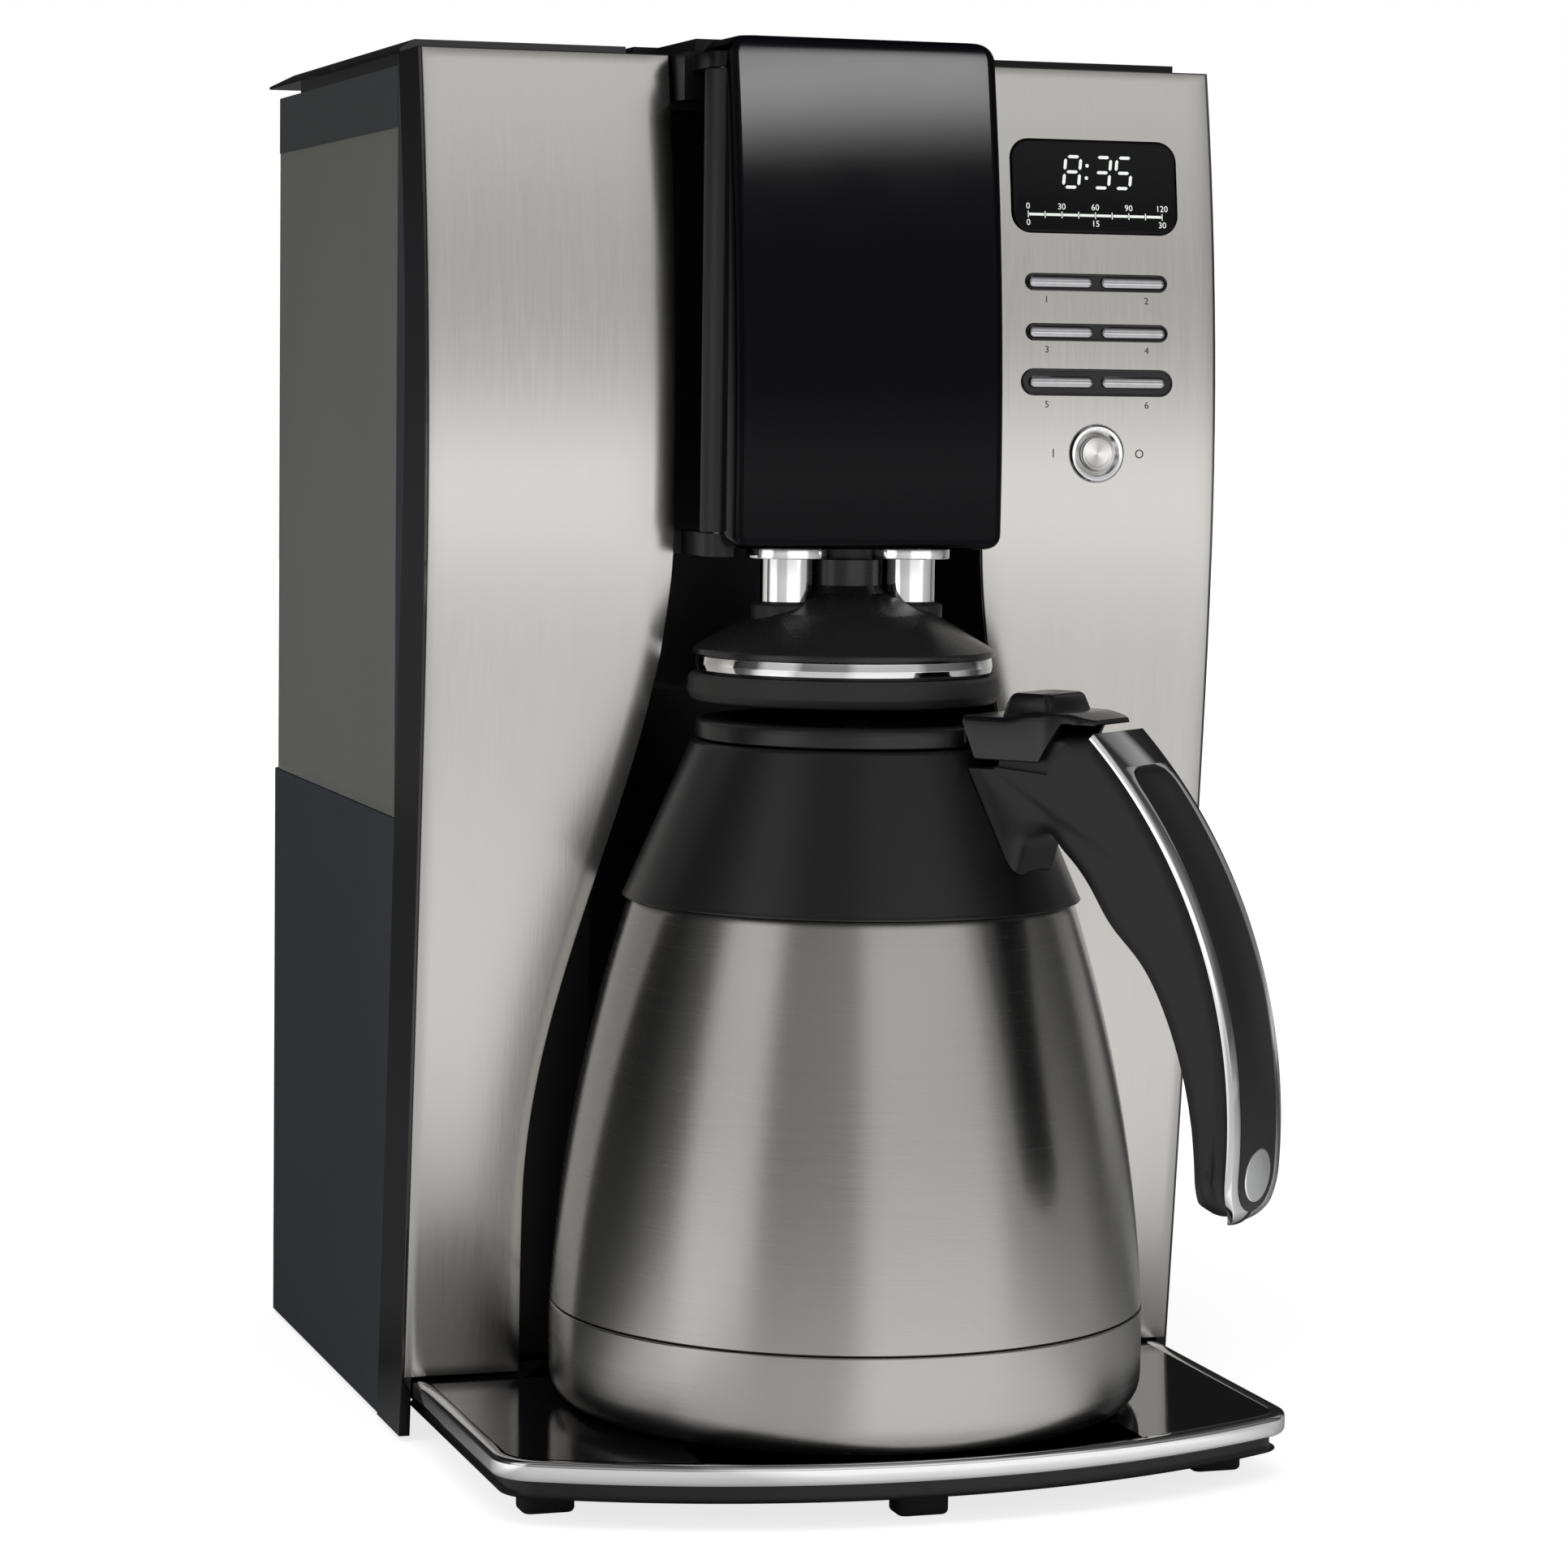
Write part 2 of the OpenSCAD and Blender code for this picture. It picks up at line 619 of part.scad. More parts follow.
module heater() color([0.7, 0.71, 0.73]) bay() difference() {
    union() {
        block(-heat_l / 2, heat_l / 2, heat_y - heat_d / 2, heat_y + heat_d / 2, heat_low, heat_low + heat_h);
        translate([-heat_l / 2 - stub_l, inlet_y, heat_low + 9]) rotate([0, 90, 0])
            cylinder(r = stub_r, h = stub_l + 1);
        translate([heat_l / 2 - 1, outlet_y, heat_low + 9]) rotate([0, 90, 0])
            cylinder(r = stub_r, h = stub_l + 1);
        for (x = [-heat_l / 2 - 4, heat_l / 2 + 4])
            translate([x, heat_y + 12, heat_low + heat_h + 3]) rotate([0, 90, 0])
                cylinder(r = 2, h = 8, center = true);
        for (x = [-heat_l / 2 - 4, heat_l / 2 + 4])
            translate([x, heat_y + 12, heat_low + heat_h / 2]) cylinder(r = 2, h = heat_h / 2 + 3);
        for (x = [-heat_l / 2 - 2, heat_l / 2 + 2])
            block(x - 4, x + 4, heat_y + 9, heat_y + 15, heat_low + 8, heat_low + 12);
    }
    translate([-heat_l / 2 - stub_l - 1, inlet_y, heat_low + 9]) rotate([0, 90, 0])
        cylinder(r = riser_r, h = 28);
    translate([heat_l / 2 - 12, outlet_y, heat_low + 9]) rotate([0, 90, 0])
        cylinder(r = riser_r + 0.05, h = 28);
}

module thermostats() color([0.6, 0.6, 0.62]) bay()
    for (x = [-22, 22]) translate([x, heat_y, heat_low + heat_h]) {
        cylinder(r = 8, h = 6);
        block(-6, -4, -1, 1, 5.9, 12);
        block(4, 6, -1, 1, 5.9, 12);
    }

function hose_way() = [[port_x, port_y, tank_z - 17], [port_x, port_y, 60],
    [port_x, inlet_y, heat_low + 9], [-heat_l / 2 - 4, inlet_y, heat_low + 9]];
module water_hose() color([0.75, 0.76, 0.74]) bay() difference() {
    route(hose_way(), hose_r);
    route([hose_way()[0] + [0, 0, 1], hose_way()[1], hose_way()[2], hose_way()[3] + [1, 0, 0]], hose_bore);
}

module hose_clamps() color([0.75, 0.75, 0.77]) bay() {
    translate([port_x, port_y, tank_z - 25]) ring(hose_r, hose_r + 1, 6);
    translate([-heat_l / 2 - 13, inlet_y, heat_low + 9]) rotate([0, 90, 0]) ring(hose_r, hose_r + 1, 6);
}

module valve_seat() color([0.12, 0.12, 0.12]) bay() translate([port_x, port_y, 0]) difference() {
    union() {
        translate([0, 0, tank_z - 10]) cylinder(r = port_r + 6, h = 10 - gap - 2.5);
        translate([0, 0, tank_z - 10]) cylinder(r = port_r + 2.9, h = 10 - gap);
        translate([0, 0, tank_z - 26]) cylinder(r = stub_r, h = 17);
    }
    translate([0, 0, tank_z - 7]) cylinder(r = port_r + 1.3, h = 8);
    translate([0, 0, tank_z - 27]) cylinder(r = riser_r, h = 21);
}

module seat_seal() color([0.35, 0.35, 0.35]) bay()
    translate([port_x, port_y, tank_z - 7]) ring(port_r - 2, port_r + 1.2, 2.5);

// ---------------------------------------------------------------- controls

module on_front(z0, z1, near, far) intersection() {
    along(0, 60) children();
    bowed(ctrl_x - 30, ctrl_x + 30, z0, z1, near, far);
}

module display_lens() color([0.02, 0.02, 0.02]) bay()
    on_front(lens_z - lens_h, lens_z + lens_h * 0.75, -0.2, 3)
        rounded(ctrl_x - lens_w / 2, ctrl_x + lens_w / 2,
                lens_z - lens_h / 2, lens_z + lens_h / 2, lens_corner);

module display_board() color([0.1, 0.3, 0.15]) bay() {
    difference() {
        block(board_x0, board_x1, board_y, board_y + board_t, board_z0, board_z1);
        for (x = [board_x0 + 4, board_x1 - 4], z = [board_z0 + 4, board_z1 - 4])
            translate([x, board_y + 3, z]) rotate([90, 0, 0]) cylinder(r = screw_r + 0.1, h = 5);
    }
    // display module and a switch behind every key
    block(ctrl_x - 19, ctrl_x + 19, board_y - 7, board_y + 0.1, lens_z - 9, lens_z + 9);
    for (z = row_z, s = [-0.5, 0.5])
        block(ctrl_x + s * key_pitch - 3, ctrl_x + s * key_pitch + 3,
              front_y(z) + 9 + key_travel + 0.1, board_y + 0.1, z - 3, z + 3);
    block(ctrl_x - 3, ctrl_x + 3, front_y(button_z) + 11.3, board_y + 0.1, button_z - 3, button_z + 3);
}

module control_board() color([0.1, 0.3, 0.15]) bay() {
    difference() {
        block(power_x - board_t, power_x, 80, 200, 40, 150);
        for (y = power_y, z = power_z) translate([power_x - 3, y, z]) rotate([0, 90, 0])
            cylinder(r = screw_r + 0.1, h = 5);
    }
    block(power_x - 17, power_x - board_t + 0.1, 100, 122, 62, 84);
    block(power_x - 13, power_x - board_t + 0.1, 150, 176, 96, 112);
    translate([power_x - 14, 128, 120]) rotate([0, 90, 0]) cylinder(r = 6, h = 12.5);
}

module key_bezels() color([0.03, 0.03, 0.03]) bay() for (i = [0:2]) difference() {
    union() {
        on_front(row_z[i] - 6, row_z[i] + 6, -0.4, 3.6)
            translate([ctrl_x, row_z[i]]) stadium(row_half[i], row_r[i]);
        on_front(row_z[i] - 6, row_z[i] + 6, 3.35, 4.2)
            translate([ctrl_x, row_z[i]]) stadium(row_half[i] + 1, row_r[i] + 1);
    }
    along(0, 60) for (s = [-0.5, 0.5]) translate([ctrl_x + s * key_pitch, row_z[i]])
        stadium(key_l / 2 + 0.08, key_h / 2 + 0.08);
}

module button_ring() color([0.8, 0.8, 0.82]) bay()
    translate([ctrl_x, front_y(button_z) + 5, button_z]) rotate([90, 0, 0]) {
        ring(button_r + 0.08, ring_r, 5.8);
        ring(button_r + 0.08, ring_r + 1, 1.5);
    }

module bar_key(i, side) color([0.75, 0.75, 0.77]) bay() {
    along(front_y(row_z[i]) - 0.8, front_y(row_z[i]) + 9)
        translate([ctrl_x + side * key_pitch / 2, row_z[i]]) stadium(key_l / 2, key_h / 2);
    along(front_y(row_z[i]) + 4.7, front_y(row_z[i]) + 6)
        translate([ctrl_x + side * key_pitch / 2, row_z[i]]) stadium(key_l / 2 + 0.8, key_h / 2 + 0.8);
}

module bar_key_1() bar_key(0, -1);
module bar_key_2() bar_key(0, 1);
module bar_key_3() bar_key(1, -1);
module bar_key_4() bar_key(1, 1);
module bar_key_5() bar_key(2, -1);
module bar_key_6() bar_key(2, 1);

module brew_button() color([0.7, 0.7, 0.72]) bay() translate([ctrl_x, front_y(button_z), button_z]) {
    translate([0, 10, 0]) rotate([90, 0, 0]) cylinder(r = button_r, h = 11);
    translate([0, 7.4, 0]) rotate([90, 0, 0]) cylinder(r = button_r + 1.5, h = 1.4);
}

module cord_inlet() color([0.03, 0.03, 0.03]) bay() translate([cord_x, body_rear + 3, cord_z])
    rotate([90, 0, 0]) difference() {
        union() {
            cylinder(r = cord_r + 3, h = 3);
            cylinder(r = cord_r + 0.9, h = 8);
        }
        translate([0, 0, -1]) cylinder(r = cord_r - 1.5, h = 7);
    }

module screws() color([0.6, 0.6, 0.62]) bay() {
    for (p = rear_screws()) translate([p[0], body_rear, p[1]]) rotate([-90, 0, 0]) screw(9);
    for (x = [board_x0 + 4, board_x1 - 4], z = [board_z0 + 4, board_z1 - 4])
        translate([x, board_y + board_t, z]) rotate([-90, 0, 0]) screw(6);
    for (y = power_y, z = power_z)
        translate([power_x - board_t, y, z]) rotate([0, -90, 0]) screw(5);
}

// ---------------------------------------------------------------- brew door

module hinge_pin() color([0.75, 0.75, 0.77]) bay()
    translate([hinge_x, hinge_y, arm_low + 1]) cylinder(r = pin_r, h = barrel_top + arm_t - 1.2 - arm_low);

module door_cover() color([0.02, 0.02, 0.025]) bay() difference() {
    bowed_to(-door_half, door_half, door_z, body_h, -door_proud, cap_y - 1);
    bowed_to(-door_half + door_wall, door_half - door_wall, door_z + door_wall, body_h - door_wall,
             -door_proud + door_wall, cap_y);
    // left rear is cut away round the hinge
    block(-door_half - 1, hinge_x + 6, hinge_y - 6.2, cap_y, door_z - 1, body_h - door_wall - 0.1);
    translate([0, spout_y, door_z - 1]) cylinder(r = spout_r + gap, h = door_wall + 2);
}

module door_frame() color([0.06, 0.06, 0.06]) bay() difference() {
    union() {
        block(hinge_x, door_half - door_wall - 0.1, web_y, web_y + web_t, barrel_low, barrel_top);
        translate([hinge_x, hinge_y, barrel_low]) cylinder(r = barrel_r, h = barrel_top - barrel_low);
        block(-17, door_half - door_wall - 0.1, web_y, web_y + 9, barrel_top - 3, barrel_top);
    }
    translate([hinge_x, hinge_y, barrel_low - 1]) cylinder(r = pin_r + 0.1, h = barrel_top);
    translate([0, holder_y, holder_low - 1]) cylinder(r = holder_r + 0.3, h = ceiling_z + 3.5 - holder_low);
    block(-14.3, 14.3, 0, 20, barrel_low - 1, holder_low);
}

module holder_shape(d) {
    translate([0, holder_y, holder_low + d])
        cylinder(r1 = holder_r - 12 - d, r2 = holder_r - d,
                 h = holder_rim - holder_low - d + (d > 0 ? 0.01 : 0));
    for (y = [spout_y, holder_y]) translate([0, y, door_z + door_wall + 0.2 + d])
        cylinder(r = 14 - d, h = holder_low + 0.1 - door_z - door_wall);
    block(-14 + d, 14 - d, spout_y, holder_y, door_z + door_wall + 0.2 + d, holder_low + d + 0.1);
}

module basket_holder() color([0.05, 0.05, 0.05]) bay() difference() {
    union() {
        holder_shape(0);
        translate([0, spout_y, hood_rim - 10]) cylinder(r = spout_r, h = door_z + 4 + 10 - hood_rim);
        block(-31, 31, web_y + web_t + 0.1, web_y + web_t + 3.1,
              holder_rim - 50, holder_rim - 20);
    }
    holder_shape(2);
    translate([0, holder_y, holder_rim - 1]) cylinder(r = holder_r - 2, h = 3);
    translate([0, spout_y, hood_rim - 7]) cylinder(r = 5.2, h = 20.8);
    translate([0, spout_y, hood_rim + 15.3]) cylinder(r = 5.2, h = 30);
    translate([0, spout_y, hood_rim - 11]) cylinder(r = 3.2, h = 20);
    // guide of the stem, with drain holes
    translate([0, spout_y, hood_rim + 10]) {
        cylinder(r = 1.3, h = 8);
        for (a = [0:90:270]) rotate([0, 0, a]) translate([3.3, 0, 0]) cylinder(r = 1.1, h = 8);
    }
}

module filter_basket() color([0.03, 0.03, 0.03]) bay() translate([0, holder_y, 0]) difference() {
    union() {
        translate([0, 0, holder_low + 4]) cylinder(r1 = holder_r - 14.2, r2 = holder_r - 2.5,
                                                   h = holder_rim - holder_low - 4);
        translate([0, 0, holder_rim]) cylinder(r = holder_r - 0.2, h = 2);
    }
    translate([0, 0, holder_low + 5.5]) cylinder(r1 = holder_r - 15.2, r2 = holder_r - 3.8,
                                                 h = holder_rim - holder_low - 5.5);
    translate([0, 0, holder_rim - 0.1]) cylinder(r = holder_r - 3.8, h = 3);
    for (i = [0:5]) rotate([0, 0, i * 60]) translate([8, 0, holder_low]) cylinder(r = 1.5, h = 10);
    translate([0, 0, holder_low]) cylinder(r = 2, h = 10);
}

// Drip hood: a shallow cone with an inner skirt and a stem round the spout
module hood_outer() rotate_extrude($fn = 96)
    polygon([[0, hood_rim - 11], [hood_r - 3, hood_rim - 11], [hood_r - 3, hood_rim],
             [hood_r, hood_rim], [hood_r, hood_rim + 1.5], [hood_knee, hood_knee_z],
             [spout_r + 3, hood_neck_z], [0, hood_neck_z]]);

module hood() color([0.02, 0.02, 0.025]) bay() translate([0, spout_y, 0]) difference() {
    union() {
        hood_outer();
        translate([0, 0, hood_rim + 14])
            cylinder(r = spout_r + 1.6, h = flange_low - 0.1 - hood_rim - 14);
    }
    rotate_extrude($fn = 96)
        polygon([[0, hood_rim - 12], [hood_r - 5, hood_rim - 12], [hood_r - 5, hood_rim],
                 [hood_knee - 1, hood_knee_z - 2], [spout_r + 2, hood_neck_z - 2.2], [0, hood_neck_z - 2.2]]);
    translate([0, 0, hood_rim - 16]) cylinder(r = spout_r + 0.05, h = 60);
}

module hood_ring() color([0.8, 0.8, 0.82]) bay()
    translate([0, spout_y, hood_rim - ring_h]) ring(hood_r - 2.9, hood_r - 0.6, ring_h);

module hood_seal() color([0.1, 0.1, 0.1]) bay() translate([0, spout_y, 0]) {
    translate([0, 0, hood_rim - ring_h - seal_h + 0.4]) ring(hood_r - 2.9, hood_r + 1.6, seal_h - 0.8);
    translate([0, 0, hood_rim - ring_h - seal_h + 0.1]) ring(hood_r - 2.9, hood_r + 0.6, seal_h - 0.1);
}

module strut_sleeves() color([0.8, 0.8, 0.82]) bay() difference() {
    for (s = [-0.5, 0.5]) translate([s * strut_span, strut_y, 0]) {
        translate([0, 0, strut_low - 4]) cylinder(r = strut_r, h = flange_low - strut_low + 4.1);
        translate([0, 0, flange_low]) cylinder(r = flange_r, h = flange_t);
    }
    translate([0, spout_y, 0.02]) hood_outer();
    translate([0, spout_y, hood_rim]) cylinder(r = spout_r + 1.7, h = 60);
}

module drip_stop() color([0.1, 0.1, 0.1]) bay() translate([0, spout_y, 0]) {
    translate([0, 0, hood_rim - 7]) cylinder(r = 4.9, h = 2);
    translate([0, 0, hood_rim - 15]) cylinder(r = 2.6, h = 8.5);
    translate([0, 0, hood_rim - 6]) cylinder(r = 1.2, h = 25);
}

// Coil of half turns, each tilted so that it climbs half a pitch
module drip_spring() color([0.75, 0.75, 0.77]) bay() translate([0, spout_y, hood_rim - 4.2])
    for (i = [0:11]) translate([0, 0, spring_pitch / 4 + i * spring_pitch / 2])
        rotate([0, 0, 180 * (i % 2)]) rotate([0, -asin(spring_pitch / 4 / spring_r), 0]) {
            difference() {
                rotate_extrude() translate([spring_r, 0]) circle(0.5, $fn = 16);
                translate([-5, -5, -1]) cube([10, 5, 2]);
            }
            translate([-spring_r, 0, 0]) sphere(0.52, $fn = 16);
        }

// ---------------------------------------------------------------- reservoir

module tank2d(d) {
    rounded(tank_x + d, tank_in - d, tank_y0 + d, tank_y1 - d, tank_r - d);
    translate([tank_x + d, tank_y0 + d]) square([tank_w - 2 * d, tank_y1 - tank_y0 - tank_r - d]);
    translate([tank_x + tank_r, tank_y0 + d]) square([tank_w - tank_r - d, tank_y1 - tank_y0 - 2 * d]);
}

module tank() color([0.35, 0.35, 0.34]) bay() difference() {
    translate([0, 0, tank_z]) linear_extrude(collar_low - tank_z) tank2d(0);
    translate([0, 0, tank_z + tank_wall]) linear_extrude(collar_low - tank_z) tank2d(tank_wall);
    translate([port_x, port_y, tank_z - 1]) cylinder(r = port_r - 2.9, h = 5);
}

module tank_collar() color([0.2, 0.2, 0.2]) bay() difference() {
    union() {
        translate([0, 0, collar_low]) linear_extrude(collar_h) tank2d(-0.2);
        block(tank_in - 8, flange_x, tank_y0 - 0.2, tank_y1 + 0.2, collar_top - 3, collar_top);
        // ears of the lid hinge
        for (y = [tank_y0 + 3, tank_y1 - 7]) {
            block(lid_hinge_x - 3.5, flange_x, y, y + 4, collar_top - 0.1, deck_z + 0.4);
            translate([lid_hinge_x, y + 4, lid_hinge_z]) rotate([90, 0, 0]) cylinder(r = 1.6, h = 4);
            block(lid_hinge_x - 3.5, lid_hinge_x, y, y + 4, deck_z, lid_hinge_z + 1);
        }
    }
    translate([0, 0, collar_low - 1]) linear_extrude(collar_h) tank2d(tank_wall);
    block(tank_x + 5, flange_x - 6, tank_y0 + 3, tank_y1 - 3, collar_top - 4, collar_top + 1);
    for (y = [tank_y0 + 3, tank_y1 - 7]) translate([lid_hinge_x, y + 5, lid_hinge_z])
        rotate([90, 0, 0]) cylinder(r = 0.95, h = 6);
}

module tank_valve() color([0.15, 0.15, 0.15]) bay() translate([port_x, port_y, 0]) {
    translate([0, 0, tank_z + tank_wall]) cylinder(r = port_r, h = 3);
    translate([0, 0, tank_z - 4.3]) cylinder(r = port_r - 3, h = 7);
}

module reservoir_lid() color([0.06, 0.06, 0.065]) bay() {
    difference() {
        intersection() {
            across(-half_w, lid_hinge_x)
                polygon([[tank_y0 - 2.5, deck_z + 0.1], [body_rear + lid_over, deck_z + 0.1],
                         [body_rear + lid_over, deck_z + 0.9], [body_rear - 12.5, body_h],
                         [tank_y0 - 2.5, body_h]]);
            along(0, body_w * 2)
                polygon([[-half_w, deck_z], [-half_w, deck_z + 0.9], [-half_w + 4, body_h],
                         [lid_hinge_x + 1, body_h], [lid_hinge_x + 1, deck_z]]);
        }
        for (y = [tank_y0 + 3, tank_y1 - 7])
            block(lid_hinge_x - 6, lid_hinge_x + 3, y - 0.2, y + 4.2, deck_z, body_h + 1);
    }
    translate([lid_hinge_x, tank_y1 - 7.2, lid_hinge_z]) rotate([90, 0, 0])
        cylinder(r = lid_pin_r, h = tank_y1 - tank_y0 - 14.4);
    translate([lid_hinge_x, tank_y1 - 4, lid_hinge_z]) rotate([90, 0, 0])
        cylinder(r = 0.9, h = tank_y1 - tank_y0 - 8);
    // rib that locates the lid in the collar
    difference() {
        block(tank_x + 6, flange_x - 9, tank_y0 + 8, tank_y1 - 8, collar_top - 3, deck_z + 0.2);
        block(tank_x + 8, flange_x - 11, tank_y0 + 10, tank_y1 - 10, collar_top - 4, deck_z + 0.1);
    }
    // finger tab
    block(-half_w - 0.6, -half_w + 1, 144, 178, deck_z + 0.1, deck_z + 1.2);
}

// ---------------------------------------------------------------- carafe

module arc_band(r_out, t, z0, z1) intersection() {
    translate([carafe_r - shell_curve, belly_z]) difference() {
        circle(r_out, $fn = 720);
        circle(r_out - t, $fn = 720);
    }
    translate([30, z0]) square([60, z1 - z0]);
}

module carafe_shell() color([0.72, 0.71, 0.69]) bay() rotate_extrude($fn = 120)
    arc_band(shell_curve, steel_t, seam_z + 0.2, shoulder_z);

module carafe_base() color([0.72, 0.71, 0.69]) bay() rotate_extrude($fn = 120) difference() {
    union() {
        translate([0, plate_z + 0.1]) square([carafe_r - 0.5 - cup_fillet, 4]);
        translate([0, plate_z + 0.1 + cup_fillet])
            square([carafe_r - 0.5, seam_z - plate_z - cup_fillet - 0.1]);
        translate([carafe_r - 0.5 - cup_fillet, plate_z + 0.1 + cup_fillet]) circle(cup_fillet);
        translate([0, seam_z - 0.1]) square([carafe_r - 2.2, 4]);
    }
    translate([-1, plate_z + cup_fillet + 0.1]) square([carafe_r - 2.8, seam_z]);
    translate([-1, plate_z + 2.6]) square([carafe_r - cup_fillet - 1, seam_z]);
    // raised ring under the base, so that it stands on its rim
    translate([-1, plate_z - 1]) square([carafe_r - 2.5 * cup_fillet, 2.1]);
}

module liner2d(d) polygon([[0, liner_floor + d], [carafe_r - 18 - d, liner_floor + d],
    [carafe_r - 10 - d, liner_floor + 6 + d], [shell_r(seam_z) - liner_gap - d, seam_z],
    [shell_r(95) - liner_gap - d, 95], [shell_r(148) - liner_gap - d, 148],
    [mouth_r - d, 180], [mouth_r - d, neck_z - 0.8], [0, neck_z - 0.8]]);

module carafe_liner() color([0.72, 0.71, 0.69]) bay() rotate_extrude($fn = 120) {
    difference() {
        liner2d(0);
        liner2d(liner_t);
        translate([-1, neck_z - 3.8]) square([mouth_r + 0.2, 10]);
    }
    translate([mouth_r - 0.5, neck_z - 3.6]) square([5, liner_t]);
}

function cone_r(z) = carafe_r - 19.1 - 17.6 * (z - shoulder_z - 0.3) / 41.5;
module shoulder2d(d) polygon([[0, shoulder_z + 0.1 - d], [cone_r(shoulder_z) + d, shoulder_z + 0.1 - d],
    [cone_r(shoulder_z) + d, shoulder_z + 0.6], [neck_r + d, neck_z], [0, neck_z]]);

module carafe_shoulder() color([0.03, 0.03, 0.035]) bay() rotate_extrude($fn = 120) {
    difference() {
        shoulder2d(0);
        translate([-shoulder_wall, 0]) shoulder2d(0);
        translate([-1, shoulder_z - 1]) square([cone_r(shoulder_z) - shoulder_wall + 1, 1.5]);
        translate([-1, neck_z - 0.5]) square([neck_r - shoulder_wall + 1, 1]);
    }
    translate([shell_r(shoulder_z) - 3, 146]) square([1.9, shoulder_z - 145.4]);
    translate([shell_r(shoulder_z) - 3, shoulder_z + 0.1]) square([4.6, 0.8]);
    translate([36, neck_z - 2.6]) square([neck_r - 36 - 0.5, 2.6]);
}

module in_handle(w) rotate([0, 0, handle_az]) rotate([90, 0, -90])
    linear_extrude(w, center = true) children();

module outer2d(r) translate([grip_s, grip_z]) circle(r, $fn = 360);

module grip2d() difference() {
    union() {
        intersection() {
            outer2d(grip_r - trim_t);
            translate([40, tip_z]) square([100, handle_top - tip_z]);
        }
        translate([tip_s, tip_z]) circle(tip_r);
    }
    difference() {
        translate([palm_s, palm_z]) circle(palm_r, $fn = 360);
        polygon([[62.9, 174], [58.5, 171.5], [56.3, 168], [55, 164], [30, 164], [30, 210], [62.9, 210]]);
    }
    translate([30, 70]) square([25.5, 94]);
}

// What is cut away below the round lower end of the handle, half as wide as r
module below_end(r) rotate([0, 0, handle_az]) difference() {
    block(-20, 20, -handle_reach - 5, -80, tip_z - 20, end_z);
    translate([0, -70, end_z]) rotate([90, 0, 0]) cylinder(r = r, h = 80);
}

// Root of the handle: as wide as the lever's apron on top, narrowing to the grip below
module handle_root() intersection() {
    in_handle(2 * apron_half + 1)
        polygon([[44, 191], [root_s, 191], [root_s, 180], [63, 174], [58.5, 171.5], [56.3, 168], [44, 166]]);
    rotate([0, 0, handle_az]) along(-80, -40)
        polygon([[-apron_half, 191], [apron_half, 191], [handle_w / 2, 166], [-handle_w / 2, 166]]);
}

module carafe_handle() color([0.03, 0.03, 0.035]) bay() difference() {
    union() {
        in_handle(handle_w) grip2d();
        handle_root();
    }
    below_end(handle_w / 2);
    rotate_extrude($fn = 120) shoulder2d(0.05);
    cylinder(r = cone_r(shoulder_z) + 0.05, h = shoulder_z - 0.2, $fn = 120);
    translate([0, 0, neck_z - 4.5]) cylinder(r = 51, h = 20, $fn = 120);
    rotate([0, 0, handle_az])
        block(-apron_half - 1, apron_half + 1, -lever_s - 6, 0, neck_z - 4.5, body_h);
}

// The handle's back from its top down round the tip, from inner below the trim to outer over it
module band2d(inner, outer, top) {
    intersection() {
        difference() {
            outer2d(grip_r + outer);
            outer2d(grip_r - inner);
        }
        translate([40, tip_z]) square([100, top - tip_z]);
    }
    difference() {
        translate([tip_s, tip_z]) circle(tip_r + trim_t + outer);
        translate([tip_s, tip_z]) circle(tip_r + trim_t - inner);
        translate([tip_s - 20, tip_z]) square([40, 20]);
    }
}

// What lies above the round lower end of the window
module in_window(r) intersection() {
    children();
    rotate([0, 0, handle_az]) union() {
        block(-r, r, -handle_reach - 5, -50, end_z, body_h);
        translate([0, -110, end_z]) rotate([90, 0, 0]) cylinder(r = r, h = 20);
    }
}

module handle_trim() color([0.8, 0.8, 0.82]) bay() difference() {
    in_handle(handle_w + 2 * trim_side) band2d(trim_t, 0, handle_top);
    in_window(window_w / 2) in_handle(window_w) band2d(trim_t + 1, 1, handle_top - 3);
    below_end(handle_w / 2 + trim_side);
}

module handle_insert() color([0.05, 0.05, 0.05]) bay() difference() {
    in_window(window_w / 2 - 0.2) in_handle(window_w) band2d(trim_t, 0.4, handle_top - 3.2);
    at_disc() cylinder(r = disc_r + 0.05, h = 5);
}

module at_disc() rotate([0, 0, handle_az]) translate([0, -grip_s, grip_z])
    rotate([90 + asin((grip_z - end_z) / grip_r), 0, 0]) translate([0, 0, grip_r - 0.3]) children();

module handle_disc() color([0.8, 0.8, 0.82]) bay() at_disc() cylinder(r = disc_r, h = 1);

module at_lever() rotate([0, 0, handle_az]) children();

